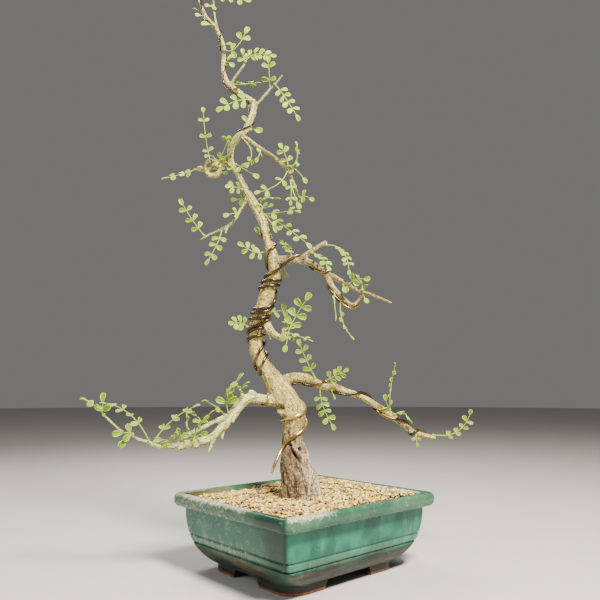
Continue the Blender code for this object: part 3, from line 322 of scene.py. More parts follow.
# Small leaves too slight for a solid in the frame, in the same form
SINGLE_LEAVES = [
    ("low_left_bud", (-105, 52, 42), [((-105, 55, 45), (-108, 60, 48), "front", 1, 5.5)]),
    ("low_left_lying", (-113, 49, 44), [((-117, 50, 49), (-124, 49, 53), "front", 1, 7)]),
    ("shoulder", (-57, 90, 22), [((-54, 95, 28), (-48, 98, 33), "up", 1, 6)]),
    ("right_drop", (26, 91, -15), [((27, 87, -12), (28, 82, -9), "right", 0, 7)]),
    ("right_under", (108, 46, -31), [((108, 43, -28), (109, 38, -25), "front", 1, 4.5)]),
    ("mid_fan", (-18, 145, 16), [((-15, 150, 13), (-23, 156, 8), "up", 1, 7)]),
    ("high_single", (35, 185, 28), [((36, 182, 31), (38, 174, 33), "front", 0, 9.5)]),
    ("fork_thin", (28, 179, 27), [((27, 166, 31), (29, 152, 34), "right", 1, 6)]),
    ("fork_end", (52, 175, 30), [((54, 172, 33), (56, 167, 36), "front", 0, 6.5)]),
    ("under_branch", (-19, 206, 8), [((-18, 203, 3), (-17, 196, -1), "front", 0, 7.5)]),
    ("trunk_left_leaflet", (-40, 237, 4), [((-43, 239, 9), (-47, 244, 13), "front", 0, 7.5)]),
    ("left_shade", (-56, 278, -5), [((-64, 279, -10), (-74, 278, -16), "front", 1, 7.5)]),
    ("twig_small", (-64, 260, 0), [((-69, 259, 6), (-78, 254, 10), "front", 1, 6.5)]),
    ("diagonal_mid", (-42, 320, 14), [((-43, 314, 17), (-47, 304, 20), "right", 1, 6)]),
    ("knot_under", (-87, 309, -9), [((-82, 305, -5), (-75, 303, -1), "front", 1, 6)]),
    ("knot_bundle", (-88, 317, -6), [
        ((-80, 325, -1), (-73, 341, 4), "front", 1, 5.5),
        ((-78, 319, -1), (-70, 323, 3), "up", 1, 5),
        ((-92, 322, -5), (-99, 319, -4), "front", 0, 5),
    ]),
    ("knot_tuft", (-82, 312, -5), [
        ((-76, 309, 1), (-73, 304, 4), "front", 0, 7.5),
        ((-77, 313, 1), (-69, 306, 5), "front", 0, 7),
    ]),
    ("bend_leaf", (-73, 332, 3), [((-76, 335, 9), (-80, 334, 14), "up", 1, 6)]),
    ("trunk_pair", (-79, 418, 0), [
        ((-76, 418, 3), (-70, 409, 5), "front", 0, 8),
        ((-77, 421, 3), (-73, 426, 5), "front", 0, 7),
    ]),
    ("trunk_high", (-82, 438, 2), [((-79, 437, 5), (-72, 437, 8), "front", 0, 7.5)]),
    ("leader_low", (-91, 457, 3), [((-96, 458, 6), (-104, 455, 9), "front", 0, 8.5)]),
    ("leader_left", (-101, 470, 4), [
        ((-106, 468, 6), (-112, 465, 8), "front", 0, 7),
        ((-107, 477, 0), (-116, 483, -4), "up", 0, 7),
    ]),
    ("shoot_inner", (-94, 484, -1), [((-97, 481, 3), (-102, 481, 7), "front", 1, 7)]),
]
FACINGS = {
    "front": (0, 0.15, 1),
    "up": (0, 1, 0.25),
    "left": (-1, 0.2, 0.3),
    "right": (1, 0.2, 0.3),
    "steep": (0, 0.7, 0.7),
}


def in_front_view(across, up, toward):
    """A point of the tree's front view, in the frame and in metres."""
    return POT_MIDDLE + Vector((
        across * cos(FRONT_TURN) - toward * sin(FRONT_TURN),
        -across * sin(FRONT_TURN) - toward * cos(FRONT_TURN),
        up + POT_HEIGHT,
    )) * MM


def front_direction(across, up, toward):
    return (in_front_view(across, up, toward) - in_front_view(0, 0, 0)).normalized()


# Materials

class Finish:
    """A material being made: its Principled BSDF and the nodes that feed it, with lengths in millimetres."""

    def __init__(self, name, **sockets):
        self.material = bpy.data.materials.new(name)
        self.material.use_nodes = True
        self.tree = self.material.node_tree
        self.shader = self.tree.nodes["Principled BSDF"]
        for socket, value in sockets.items():
            self.feed(self.shader.inputs[socket.replace("_", " ")], value)

    def feed(self, socket, value):
        if isinstance(value, bpy.types.NodeSocket):
            self.tree.links.new(value, socket)
        elif socket.type == "RGBA" and len(value) == 3:
            socket.default_value = (*value, 1)
        else:
            socket.default_value = value

    def node(self, kind, **settings):
        made = self.tree.nodes.new("ShaderNode" + kind)
        for name, value in settings.items():
            setattr(made, name, value)
        return made

    def attribute(self, name, output="Vector"):
        return self.node("Attribute", attribute_name=name).outputs[output]

    def place(self, stretch=(1, 1, 1)):
        """Where a point of the surface lies, in millimetres, with each axis stretched."""
        scaled = self.node("VectorMath", operation="MULTIPLY")
        self.feed(scaled.inputs[0], self.node("TexCoord").outputs["Object"])
        self.feed(scaled.inputs[1], [share / MM for share in stretch])
        return scaled.outputs[0]

    def axis(self, vector, name):
        split = self.node("SeparateXYZ")
        self.feed(split.inputs[0], vector)
        return split.outputs[name]

    def calculate(self, operation, first, second=0.0):
        made = self.node("Math", operation=operation)
        self.feed(made.inputs[0], first)
        self.feed(made.inputs[1], second)
        return made.outputs[0]

    def plus(self, first, second):
        return self.calculate("ADD", first, second)

    def minus(self, first, second):
        return self.calculate("SUBTRACT", first, second)

    def times(self, first, second):
        return self.calculate("MULTIPLY", first, second)

    def away_from(self, value, centre):
        """How far a value lies from a centre, either side of it."""
        return self.calculate("ABSOLUTE", self.minus(value, centre))

    def band(self, value, low, high, start=0.0, end=1.0):
        """Start below low, end above high, and a smooth change between them."""
        made = self.node("MapRange", interpolation_type="SMOOTHSTEP")
        for socket, given in zip(made.inputs, (value, low, high, start, end)):
            self.feed(socket, given)
        return made.outputs[0]

    def grain(self, size, detail=2.0, vector=None, roughness=0.5):
        """Soft noise about 0.5, with patches of about that size."""
        made = self.node("TexNoise")
        self.feed(made.inputs["Vector"], vector or self.place())
        self.feed(made.inputs["Scale"], 1 / size)
        self.feed(made.inputs["Detail"], detail)
        self.feed(made.inputs["Roughness"], roughness)
        return made.outputs["Fac"]

    def cells(self, size, output="Distance"):
        made = self.node("TexVoronoi")
        self.feed(made.inputs["Vector"], self.place())
        self.feed(made.inputs["Scale"], 1 / size)
        return made.outputs[output]

    def mix(self, share, first, second, blend="MIX"):
        made = self.node("Mix", data_type="RGBA", blend_type=blend)
        self.feed(made.inputs[0], share)
        self.feed(made.inputs[6], first)
        self.feed(made.inputs[7], second)
        return made.outputs[2]

    def shaded(self, colour, shade):
        return self.mix(1.0, colour, shade, "MULTIPLY")

    def ramp(self, value, stops):
        made = self.node("ValToRGB")
        line = made.color_ramp
        for _ in stops[2:]:
            line.elements.new(0.5)
        for element, (place, colour) in zip(line.elements, stops):
            element.position = place
            element.color = (*colour, 1)
        self.feed(made.inputs[0], value)
        return made.outputs[0]

    def colour(self, value):
        self.feed(self.shader.inputs["Base Color"], value)

    def roughness(self, value):
        self.feed(self.shader.inputs["Roughness"], value)

    def relief(self, height, depth):
        """Bump from a height between 0 and 1, that deep in millimetres."""
        bump = self.node("Bump")
        self.feed(bump.inputs["Strength"], 1.0)
        self.feed(bump.inputs["Distance"], depth * MM)
        self.feed(bump.inputs["Height"], height)
        self.feed(self.shader.inputs["Normal"], bump.outputs[0])


# Where the glaze changes: the start and end of each change, below the rim's top
LIP_END = (9.3, 11.8)
BELLY_START = (36.5, 42.0)
BELLY_DULL = (39.0, 44.0)
# where painted shade darkens the belly toward its underside
BELLY_SHADE = (44.0, 54.0)
BEAD_DEPTH = 37.6
GROOVES = ((41.0, 1.3), (34.2, 1.2), (12.3, 2.0))  # (depth, half width)
LIP_TOP = (0.4, 3.2)
LIP_FACE = (0.6, 5.0)
CLAY_TOP = (1.6, 2.6)  # up from the underside of the feet
# Along the pot's length and width, from its middle
CORNER_ALONG = 81.0
CORNER_ASIDE = 71.0
LEFT_WALL = (-75, -25)
# where painted shade darkens the left wall toward the near corner
NEAR_CORNER = (-56, -26)
LIMED_ALONG = (-54, -30)
LIMED_ASIDE = (-66, -60)
DOWN_THE_WALL = (1, 1, 0.14)  # a pattern's stretch
ROUND_THE_POT = (0.12, 0.12, 1)


def glaze_material(look):
    """Teal glaze that runs thin and olive on the belly, with lime on the lip and the left wall."""
    made = Finish("teal_glaze", Specular_IOR_Level=0.28)
    place = made.place()
    height = made.axis(place, "Z")
    below = made.minus(POT_HEIGHT, height)
    along = made.minus(made.axis(place, "X"), POT_MIDDLE.x / MM)
    aside = made.minus(made.axis(place, "Y"), POT_MIDDLE.y / MM)
    cloud = made.grain(24, 3)
    mottle = made.grain(5, 6, roughness=0.68)
    speckle = made.mix(0.5, mottle, made.grain(1.9, 5, roughness=0.7))
    fleck = made.grain(1.4, 2)
    run = made.grain(9, 3, vector=made.place(DOWN_THE_WALL))
    stroke = made.grain(5, 5, vector=made.place(ROUND_THE_POT), roughness=0.6)

    # The short wall at the left in the tree's front view, the lip, and the inner wall
    past_corner = made.minus(made.plus(aside, CORNER_ASIDE), made.plus(along, CORNER_ALONG))
    left = made.times(made.band(past_corner, -2, 3), made.band(along, *LEFT_WALL, 1.0, 0.0))
    lip = made.band(below, *LIP_END, 1.0, 0.0)
    inside = made.attribute("inside", "Fac")

    # Teal wall, greyer at the left as painted shade and reflection, and olive belly
    wall = made.mix(made.band(cloud, 0.36, 0.62), look.glaze_deep, look.glaze)
    wall = made.mix(made.band(run, 0.5, 0.72, 0.0, 0.5), wall, look.glaze_pale)
    grey = made.mix(made.band(mottle, 0.38, 0.66), look.glaze_deep, look.glaze_grey)
    wall = made.mix(made.times(left, 0.8), wall, grey)
    haze = made.times(left, made.band(made.mix(0.4, cloud, mottle), 0.46, 0.62, 0.0, 0.42))
    wall = made.mix(haze, wall, look.bloom_dull)
    belly = made.mix(made.band(stroke, 0.36, 0.66), look.belly_dark, look.belly)
    belly = made.mix(made.band(cloud, 0.45, 0.65, 0.0, 0.3), belly, look.glaze_deep)
    smear = made.times(made.band(stroke, 0.46, 0.6), made.band(speckle, 0.42, 0.58))
    belly = made.mix(made.times(smear, 0.55), belly, look.belly_pale)
    # painted shade: the belly darkens toward its underside
    belly = made.mix(made.band(below, *BELLY_SHADE, 0.0, 0.8), belly, look.belly_dark)
    drift = made.minus(below, made.times(speckle, 5.0))
    skin = made.mix(made.band(drift, *BELLY_START), wall, belly)

    # Thin glaze on the bead and the lip; painted shade in the grooves and on the left wall by the near corner
    bead = made.band(made.away_from(below, BEAD_DEPTH), 1.5, 4.0, 0.45, 0.0)
    skin = made.mix(made.times(bead, mottle), skin, look.bloom_dull)
    # painted shade along each groove
    for depth, half_width in GROOVES:
        painted_groove_shade = made.band(made.away_from(below, depth), 0.0, half_width + 1.0, 0.22, 0.0)
        skin = made.mix(painted_groove_shade, skin, look.painted_groove_shade)
    inner = made.mix(made.band(cloud, 0.34, 0.5), look.glaze_deep, look.lip_stain)
    rim = made.mix(made.band(cloud, 0.42, 0.6, 0.1, 0.8), look.glaze_grey, look.rim_olive)
    skin = made.mix(made.times(lip, 0.6), skin, rim)
    skin = made.mix(inside, skin, inner)
    # painted shade on the left wall, darkest by the near corner
    painted_corner_shade = made.times(left, made.band(aside, *NEAR_CORNER, 1.0, 0.0))
    skin = made.mix(painted_corner_shade, skin, look.painted_groove_shade)

    # Lime, most of it on the lip's top edge at the left, where it is partly a painted highlight, and on its
    # front beside the near corner
    front_lip = made.band(aside, *LIMED_ASIDE, 1.0, 0.0)
    front_lip = made.times(front_lip, made.band(along, *LIMED_ALONG, 0.24, 0.0))
    front_lip = made.times(front_lip, made.minus(1.0, left))
    front_lip = made.times(front_lip, made.band(below, *LIP_FACE, 1.0, 0.1))
    # lime and a painted highlight along the left lip's top edge
    top_edge = made.times(left, made.band(below, *LIP_TOP, 0.13, 0.02))
    limed = made.plus(top_edge, front_lip)
    limed = made.times(made.plus(limed, 0.035), lip)
    limed = made.plus(limed, made.times(left, 0.05))
    limed = made.plus(limed, made.times(bead, made.times(left, 0.1)))
    limed = made.minus(limed, made.times(painted_corner_shade, 0.4))
    limed = made.minus(limed, made.times(inside, 0.4))
    limed = made.plus(limed, made.band(below, *BELLY_DULL, 0.0, -0.09))
    bloom = made.band(made.plus(speckle, limed), 0.58, 0.76, 0.0, 0.82)
    skin = made.mix(bloom, skin, made.mix(made.band(fleck, 0.35, 0.65), look.bloom_dull, look.bloom))
    skin = made.mix(made.band(fleck, 0.7, 0.78, 0.0, 0.35), skin, look.bloom)

    # Bare clay under the feet
    clay = made.mix(made.band(mottle, 0.4, 0.6), look.clay_dark, look.clay)
    made.colour(made.mix(made.band(height, *CLAY_TOP), clay, skin))
    rough = made.plus(made.band(mottle, 0.3, 0.7, 0.14, 0.3), made.times(bloom, 0.5))
    rough = made.plus(rough, made.band(below, *BELLY_DULL, 0.0, 0.2))
    made.roughness(made.plus(rough, made.band(height, *CLAY_TOP, 0.6, 0.0)))
    swell = made.times(made.grain(11, 2), 0.5)
    made.relief(made.plus(swell, made.times(bloom, 0.35)), 0.5)
    return made.material


def grit_material(look):
    """Crushed stone: each grain has its own shade, from cream and tan to white, rust, grey and black."""
    made = Finish("grit_stone")
    shade = made.attribute("shade", "Fac")
    base = made.ramp(shade, [
        (0.0, look.stone_dark), (0.07, look.stone_grey), (0.16, look.stone_tan),
        (0.38, look.stone), (0.58, look.stone_pale), (0.72, look.stone_white),
        (0.88, look.stone_white), (0.93, look.stone_rust), (1.0, look.stone_pink),
    ])
    fine = made.grain(0.7, 3)
    dusty = made.mix(made.band(fine, 0.35, 0.7, 0.0, 0.2), base, look.stone_white)
    # painted shade: each grain darkens toward its underside
    made.colour(made.mix(made.band(made.attribute("under", "Fac"), 0.05, 0.8), dusty, look.stone_dark))
    made.roughness(made.band(fine, 0.3, 0.7, 0.7, 0.95))
    made.relief(fine, 0.15)
    return made.material


PACKED_STONE = 2.4


def soil_material(look):
    """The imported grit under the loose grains."""
    made = Finish("packed_grit")
    stones = made.cells(PACKED_STONE, "Color")
    base = made.ramp(made.axis(stones, "X"), [
        (0.0, look.stone_dark), (0.3, look.stone_tan), (0.7, look.stone), (1.0, look.stone_pale),
    ])
    gaps = made.cells(PACKED_STONE)
    # painted shade in the gaps between the packed stones
    made.colour(made.mix(made.band(gaps, 0.1, 0.5, 0.3, 0.9), base, look.stone_dark))
    made.roughness(made.band(gaps, 0.2, 0.8, 0.8, 0.95))
    made.relief(made.minus(1.0, gaps), 0.9)
    return made.material


def bark_material(look):
    """Bark over a tint for each limb: furrows along it, pits, flakes and cracks."""
    made = Finish("pale_bark", Specular_IOR_Level=0.3)
    tint = made.attribute("tint", "Color")
    furrow = made.attribute("furrow")
    age = made.attribute("age", "Fac")
    streak = made.grain(2.3, 5, vector=furrow, roughness=0.62)
    flake = made.grain(2.4, 5, roughness=0.66)
    fine = made.grain(1.0, 4, roughness=0.6)
    spots = made.cells(2.1)
    chosen = made.band(made.grain(5, 2), 0.38, 0.5)
    shade = made.shaded(tint, look.bark_dark)
    shade = made.mix(made.times(age, 0.6), shade, made.shaded(shade, look.bark_dark))
    light = made.mix(0.62, tint, look.bark_light)
    skin = made.mix(made.band(flake, 0.33, 0.5), shade, tint)
    skin = made.mix(made.band(flake, 0.54, 0.68, 0.0, 0.85), skin, light)
    streaks = made.times(made.band(streak, 0.46, 0.62), made.band(age, 0.1, 0.8, 0.6, 0.75))
    skin = made.mix(streaks, skin, made.shaded(shade, look.bark_dark))
    stained = made.band(made.grain(11, 4, roughness=0.6), 0.52, 0.7, 0.0, 0.45)
    skin = made.mix(stained, skin, made.shaded(skin, look.bark_dark))
    specks = made.times(made.band(spots, 0.2, 0.29, 0.85, 0.0), chosen)
    skin = made.mix(specks, skin, look.pit_and_scar_shade)
    skin = made.mix(made.band(fine, 0.58, 0.7, 0.0, 0.6), skin, shade)
    # painted shade in the sunk scars' holes, cracks and hollows
    made.colour(made.mix(made.attribute("scar", "Fac"), skin, look.pit_and_scar_shade))
    made.roughness(made.band(streak, 0.3, 0.7, 0.6, 0.9))
    height = made.plus(flake, made.times(fine, 0.4))
    height = made.minus(height, made.plus(streaks, specks))
    made.relief(height, 0.9)
    return made.material


def wire_material(name, colour, glint):
    """Anodised wire, with a painted highlight along some stretches."""
    made = Finish(name, Metallic=0.8)
    painted_glint = made.grain(26, 2)
    fine = made.grain(1.2, 2)
    made.colour(made.mix(made.band(painted_glint, 0.48, 0.62, 0.0, 0.7), colour, glint))
    made.roughness(made.band(fine, 0.3, 0.7, 0.24, 0.3))
    made.relief(fine, 0.008)
    return made.material


VEIN_SLANT = 0.35
VEIN_WAVES = 40.0


def leaflet_material(look):
    """A leaflet: its own green, a pale rib, faint side veins and a pale margin."""
    made = Finish("leaf_blade", Specular_IOR_Level=0.2)
    blade = made.attribute("blade")
    along = made.axis(blade, "X")
    aside = made.calculate("ABSOLUTE", made.axis(blade, "Y"))
    green = made.ramp(made.axis(blade, "Z"), [
        (0.0, look.leaf_dark), (0.5, look.leaf), (1.0, look.leaf_young),
    ])
    patch = made.grain(2.5, 3)
    green = made.mix(made.band(patch, 0.42, 0.7, 0.0, 0.35), green, look.leaf_young)
    slant = made.minus(along, made.times(aside, VEIN_SLANT))
    vein = made.band(made.calculate("SINE", made.times(slant, VEIN_WAVES)), 0.75, 1.0, 0.0, 0.2)
    rib = made.times(made.band(aside, 0.03, 0.12, 0.6, 0.0), made.band(along, 0.5, 1.0, 0.8, 0.1))
    margin = made.band(aside, 0.68, 0.96, 0.0, 0.75)
    pale = made.calculate("MAXIMUM", made.calculate("MAXIMUM", vein, rib), margin)
    made.colour(made.mix(pale, green, look.leaf_rib))
    made.roughness(made.band(patch, 0.3, 0.7, 0.42, 0.6))
    made.relief(made.calculate("MAXIMUM", vein, rib), 0.12)
    return made.material


def stalk_material(look):
    """Leaf stalks, green with a brown flush toward the wood."""
    made = Finish("leaf_stalk")
    streak = made.grain(1.5, 3)
    made.colour(made.mix(made.band(streak, 0.42, 0.7, 0.0, 0.7), look.stalk, look.stalk_flush))
    made.roughness(made.band(streak, 0.3, 0.7, 0.5, 0.7))
    return made.material


def bud_material(look):
    """Brown bud scales, green between them."""
    made = Finish("bud_scale")
    scale = made.grain(1.1, 3)
    made.colour(made.mix(made.band(scale, 0.4, 0.6), look.stalk_flush, look.stalk))
    made.roughness(made.band(scale, 0.3, 0.7, 0.6, 0.85))
    made.relief(scale, 0.3)
    return made.material


PLASTIC_DARK = (0.02, 0.02, 0.02)
PLASTIC_WORN = (0.05, 0.05, 0.048)


def screen_material():
    """Black moulded plastic."""
    made = Finish("screen_plastic")
    grain = made.grain(0.8, 2)
    made.colour(made.mix(grain, PLASTIC_DARK, PLASTIC_WORN))
    made.roughness(made.band(grain, 0.3, 0.7, 0.5, 0.7))
    made.relief(grain, 0.05)
    return made.material


def floor_material(colour):
    made = Finish("pale_floor")
    cloud = made.grain(300, 2)
    made.colour(made.mix(cloud, colour, [share * 0.97 for share in colour]))
    made.roughness(made.band(cloud, 0.3, 0.7, 0.75, 0.85))
    return made.material


# Sizes and colours to change

def colour_property(name, description, default):
    return FloatVectorProperty(
        name=name, description=description, default=default, subtype="COLOR", size=3, min=0, max=1
    )


def length_property(name, description, default):
    return FloatProperty(
        name=name, description=description + ", in millimetres", default=default, min=0.01, precision=2
    )


class PotLook(bpy.types.PropertyGroup):
    corner_steps: IntProperty(name="Corner Steps", description="Faces round a corner", default=12, min=4)
    unevenness: length_property("Unevenness", "How far the thrown walls wander", 0.35)
    glaze: colour_property("Glaze", "Main teal of the wall", (0.020, 0.185, 0.115))
    glaze_deep: colour_property("Deep Glaze", "Teal where the glaze is thick", (0.008, 0.095, 0.056))
    glaze_pale: colour_property("Glaze Runs", "Pale runs down the wall", (0.07, 0.27, 0.185))
    # also the painted shade and reflection that grey the left wall
    glaze_grey: colour_property("Grey Veil", "Wall under the mineral veil", (0.042, 0.085, 0.060))
    # painted shade for the grooves and for the left wall by the near corner
    painted_groove_shade: colour_property("Groove", "Glaze pooled in the grooves", (0.010, 0.035, 0.022))
    belly: colour_property("Belly", "Thin olive glaze", (0.036, 0.035, 0.015))
    belly_pale: colour_property("Pale Belly", "Cream smears in the olive glaze", (0.15, 0.135, 0.07))
    belly_dark: colour_property("Dark Belly", "Olive glaze in shade", (0.007, 0.011, 0.005))
    rim_olive: colour_property("Olive Rim", "Thin glaze on the lip", (0.085, 0.105, 0.042))
    lip_stain: colour_property("Lip Stain", "Olive stain inside the lip", (0.12, 0.10, 0.035))
    bloom: colour_property("Bloom", "Lime left by water", (0.60, 0.58, 0.40))
    bloom_dull: colour_property("Dull Bloom", "Thinner lime", (0.19, 0.24, 0.17))
    clay: colour_property("Clay", "Bare feet", (0.26, 0.10, 0.04))
    clay_dark: colour_property("Dark Clay", "Stained clay", (0.15, 0.06, 0.03))


class GritLook(bpy.types.PropertyGroup):
    pitch: length_property("Pitch", "Distance between grains", 2.75)
    smallest: length_property("Smallest", "Least grain radius", 1.0)
    largest: length_property("Largest", "Greatest grain radius", 2.0)
    layer: length_property("Layer", "Height between layers of grains", 1.9)
    fill: FloatProperty(name="Fill", description="Top grains over the rim at the left, in millimetres",
                        default=-3.4)
    heap: length_property("Heap", "Extra height at the right", 3.6)
    seed: IntProperty(name="Seed", description="Which scatter of grains", default=7)
    stone: colour_property("Stone", "Commonest grain", (0.44, 0.28, 0.036))
    stone_pale: colour_property("Pale Stone", "Light grain", (0.66, 0.45, 0.078))
    stone_tan: colour_property("Tan Stone", "Deeper grain", (0.27, 0.16, 0.03))
    stone_white: colour_property("White Stone", "White grain", (0.84, 0.68, 0.25))
    stone_rust: colour_property("Rust Stone", "Orange grain", (0.50, 0.20, 0.02))
    stone_pink: colour_property("Pink Stone", "Pinkish grain", (0.55, 0.33, 0.16))
    stone_grey: colour_property("Grey Stone", "Grey grain", (0.14, 0.115, 0.085))
    stone_dark: colour_property("Dark Stone", "Nearly black grain", (0.02, 0.014, 0.01))


class WoodLook(bpy.types.PropertyGroup):
    voxel: length_property("Voxel", "Size of the grown surface's cells", 0.8)
    sunk: FloatProperty(name="Lumps", description="Depth of the lumps as a share of the radius",
                        default=0.16, min=0, max=0.5)
    lump: length_property("Lump", "Size of the lumps", 10.5)
    stretch: FloatProperty(name="Stretch", description="Furrows' width against their length", default=0.12)
    fine_relief: length_property("Bark Relief", "Height of flakes and furrows", 0.42)
    cream: colour_property("Cream Bark", "Trunk", (0.56, 0.455, 0.14))
    caudex: colour_property("Caudex", "Old bark at the foot", (0.225, 0.145, 0.072))
    # painted light: the caudex is paler on its side toward the viewer's right
    lit_flank: colour_property("Pale Flank", "Worn side of the foot", (0.80, 0.66, 0.46))
    lichen: colour_property("Greenish Bark", "Low left branch", (0.61, 0.62, 0.215))
    grey: colour_property("Grey Bark", "Upper branches", (0.37, 0.29, 0.115))
    shoot: colour_property("Green Shoot", "This year's wood", (0.30, 0.38, 0.10))
    bark_dark: colour_property("Furrow Shade", "Multiplies the bark in furrows", (0.42, 0.35, 0.24))
    bark_light: colour_property("Flake Light", "Edges of flakes", (0.86, 0.79, 0.50))
    # real dark pits in the bark, and the painted shade in sunk scars
    pit_and_scar_shade: colour_property("Pit", "Holes and cracks", (0.035, 0.02, 0.01))


class WireLook(bpy.types.PropertyGroup):
    swell: FloatProperty(name="Swell", description="Radius against the solids' wires", default=1.18, min=0.5)
    sides: IntProperty(name="Sides", description="Faces round a wire", default=10, min=6)
    step: length_property("Step", "Length of a wire's segments", 1.1)
    copper: colour_property("Copper", "Dark anodised coat", (0.060, 0.040, 0.022))
    # painted highlight on some stretches of the wire
    glint: colour_property("Glint", "Worn coat", (0.27, 0.165, 0.05))
    # painted light: the low wire's lit copy of the copper coat, with its highlight
    lit_copper: colour_property("Golden", "The low wire's coat", (0.22, 0.125, 0.03))
    lit_copper_glint: colour_property("Golden Glint", "The low wire's worn coat", (0.80, 0.58, 0.20))


class LeafLook(bpy.types.PropertyGroup):
    thickness: length_property("Thickness", "Of a leaflet", 0.35)
    width: FloatProperty(name="Width", description="Half a leaflet's width as a share of its length",
                         default=0.37, min=0.1, max=0.6)
    fold: FloatProperty(name="Fold", description="How far the two halves rise", default=0.16)
    droop: FloatProperty(name="Droop", description="How far the tip hangs", default=0.12)
    turn: FloatProperty(name="Turn", description="How far leaflets turn from the leaf's plane",
                        default=radians(20), subtype="ANGLE")
    seed: IntProperty(name="Seed", description="Which set of turns and greens", default=3)
    leaf: colour_property("Leaf", "Common green", (0.12, 0.245, 0.004))
    leaf_dark: colour_property("Dark Leaf", "Old leaflets", (0.075, 0.155, 0.006))
    leaf_young: colour_property("Young Leaf", "Fresh leaflets", (0.23, 0.405, 0.007))
    leaf_rib: colour_property("Rib", "Rib and margin", (0.56, 0.68, 0.075))
    stalk: colour_property("Stalk", "Stalks", (0.40, 0.48, 0.10))
    stalk_flush: colour_property("Stalk Flush", "Brown on stalks and buds", (0.24, 0.15, 0.05))


class StageLook(bpy.types.PropertyGroup):
    floor: colour_property("Floor", "Pale floor", (0.50, 0.49, 0.47))
    key: FloatProperty(name="Key", description="Key light", default=46, min=0, unit="POWER")
    fill: FloatProperty(name="Fill", description="Fill light", default=4.5, min=0, unit="POWER")
    back: FloatProperty(name="Back", description="Light from behind", default=9, min=0, unit="POWER")
    sky: FloatProperty(name="Sky", description="Light from all round", default=0.21, min=0)


# Shared making

WELD = 0.005  # corners nearer than this are one
SHARP_EDGE = radians(50)
ATTRIBUTE_FIELDS = {"FLOAT": "value", "FLOAT_VECTOR": "vector", "FLOAT_COLOR": "color"}


def share_between(value, start, end):
    """How far the value has gone from start to end, from 0 to 1."""
    return min(1, max(0, (value - start) / (end - start)))


def mesh_of(bm, name):
    mesh = bpy.data.meshes.new(name)
    bm.to_mesh(mesh)
    bm.free()
    return mesh


def linked(name, mesh, *materials):
    """The mesh or curve as an object in the scene, with these materials."""
    made = bpy.data.objects.new(name, mesh)
    bpy.context.scene.collection.objects.link(made)
    mesh.materials.clear()
    for finish in materials:
        mesh.materials.append(finish)
    return made


def piece(name, mesh, slot, *materials, nodes=(), sharp=SHARP_EDGE):
    """A finished piece: smooth but for its sharp edges, riding on the body, and standing for CAD nodes."""
    made = linked(name, mesh, *materials)
    mesh.shade_smooth()
    mesh.set_sharp_from_angle(angle=sharp)
    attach(made, BODY)
    if nodes:
        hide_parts(*nodes)
    return made


def dress(node, finish):
    """Gives a CAD node that stays in view its material."""
    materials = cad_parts[node].data.materials
    materials.clear()
    materials.append(finish)


def give_corners(mesh, name, kind, values):
    """A value, vector or colour for each corner of the mesh, for its material to read."""
    made = mesh.attributes.new(name, kind, "POINT")
    made.data.foreach_set(ATTRIBUTE_FIELDS[kind], np.ravel(values))


def evaluated_mesh(source):
    """The object's mesh with its modifiers or bevel applied and loose caps welded; the object is removed."""
    graph = bpy.context.evaluated_depsgraph_get()
    mesh = bpy.data.meshes.new_from_object(source.evaluated_get(graph))
    bpy.data.objects.remove(source)
    bm = bmesh.new()
    bm.from_mesh(mesh)
    bmesh.ops.remove_doubles(bm, verts=bm.verts, dist=WELD * MM)
    bm.to_mesh(mesh)
    bm.free()
    return mesh


def tubes(lines, sides, name):
    """One mesh of round tubes; a line is a list of (point in metres, radius in millimetres)."""
    curve = bpy.data.curves.new(name, "CURVE")
    curve.dimensions = "3D"
    curve.bevel_depth = MM
    curve.bevel_resolution = (sides - 4) // 2
    curve.use_fill_caps = True
    for line in lines:
        spline = curve.splines.new("POLY")
        spline.points.add(len(line) - 1)
        for place, (point, radius) in zip(spline.points, line):
            place.co = (*point, 1)
            place.radius = radius
    return evaluated_mesh(linked(name, curve))


def smooth_line(points, step):
    """Rows of numbers about a step apart on a smooth curve through the given ones."""
    rows = np.array(points, float)
    rows = np.vstack([2 * rows[0] - rows[1], rows, 2 * rows[-1] - rows[-2]])
    made = []
    for a, b, c, d in zip(rows, rows[1:], rows[2:], rows[3:]):
        count = max(1, round(float(np.linalg.norm((c - b)[:3])) / step))
        for k in range(count):
            t = k / count
            linear = 2 * b + (c - a) * t
            squared = (2 * a - 5 * b + 4 * c - d) * t ** 2
            cubed = (3 * b - a - 3 * c + d) * t ** 3
            made.append((linear + squared + cubed) / 2)
    return [*made, rows[-2]]


def surface_of(meshes):
    """The meshes together, to measure distances from."""
    bm = bmesh.new()
    for mesh in meshes:
        bm.from_mesh(mesh)
    surface = BVHTree.FromBMesh(bm)
    bm.free()
    return surface


def lifted_off(surface, point, clearance):
    """The point, moved straight out where it lies nearer to the surface than the clearance."""
    found, normal, _, distance = surface.find_nearest(point)
    if (point - found).dot(normal) > 0 and distance >= clearance * MM:
        return point
    return found + normal * clearance * MM


# The pot

OUTSIDE_STEP = 1.2
INSIDE_STEP = 4
SIDE_POINTS = 14
WANDER_SIZE = 30
FOOT_EDGE = 0.8
DRAIN_SIDES = 32


def between(start, end, count):
    return [start.lerp(end, (step + 1) / (count + 1)) for step in range(count)]


def rounded_ring(inset, depth, radius, corner_steps, side_points):
    """Points round the pot's outline at one depth below the rim, inset from its outer edge."""
    half_x = RIM_LENGTH / 2 - inset - radius
    half_y = RIM_WIDTH / 2 - inset - radius
    middles = [(half_x, half_y), (-half_x, half_y), (-half_x, -half_y), (half_x, -half_y)]
    points = []
    for quarter, (x, y) in enumerate(middles):
        arc = []
        for step in range(corner_steps + 1):
            angle = pi / 2 * (quarter + step / corner_steps)
            arc.append(Vector((x + radius * cos(angle), y + radius * sin(angle), POT_HEIGHT - depth)))
        if points:
            points += between(points[-1], arc[0], side_points)
        points += arc
    return points + between(points[-1], points[0], side_points)


def above(corner, fresh):
    """The fresh corner that was extruded from this one."""
    return next(edge.other_vert(corner) for edge in corner.link_edges if edge.other_vert(corner) in fresh)


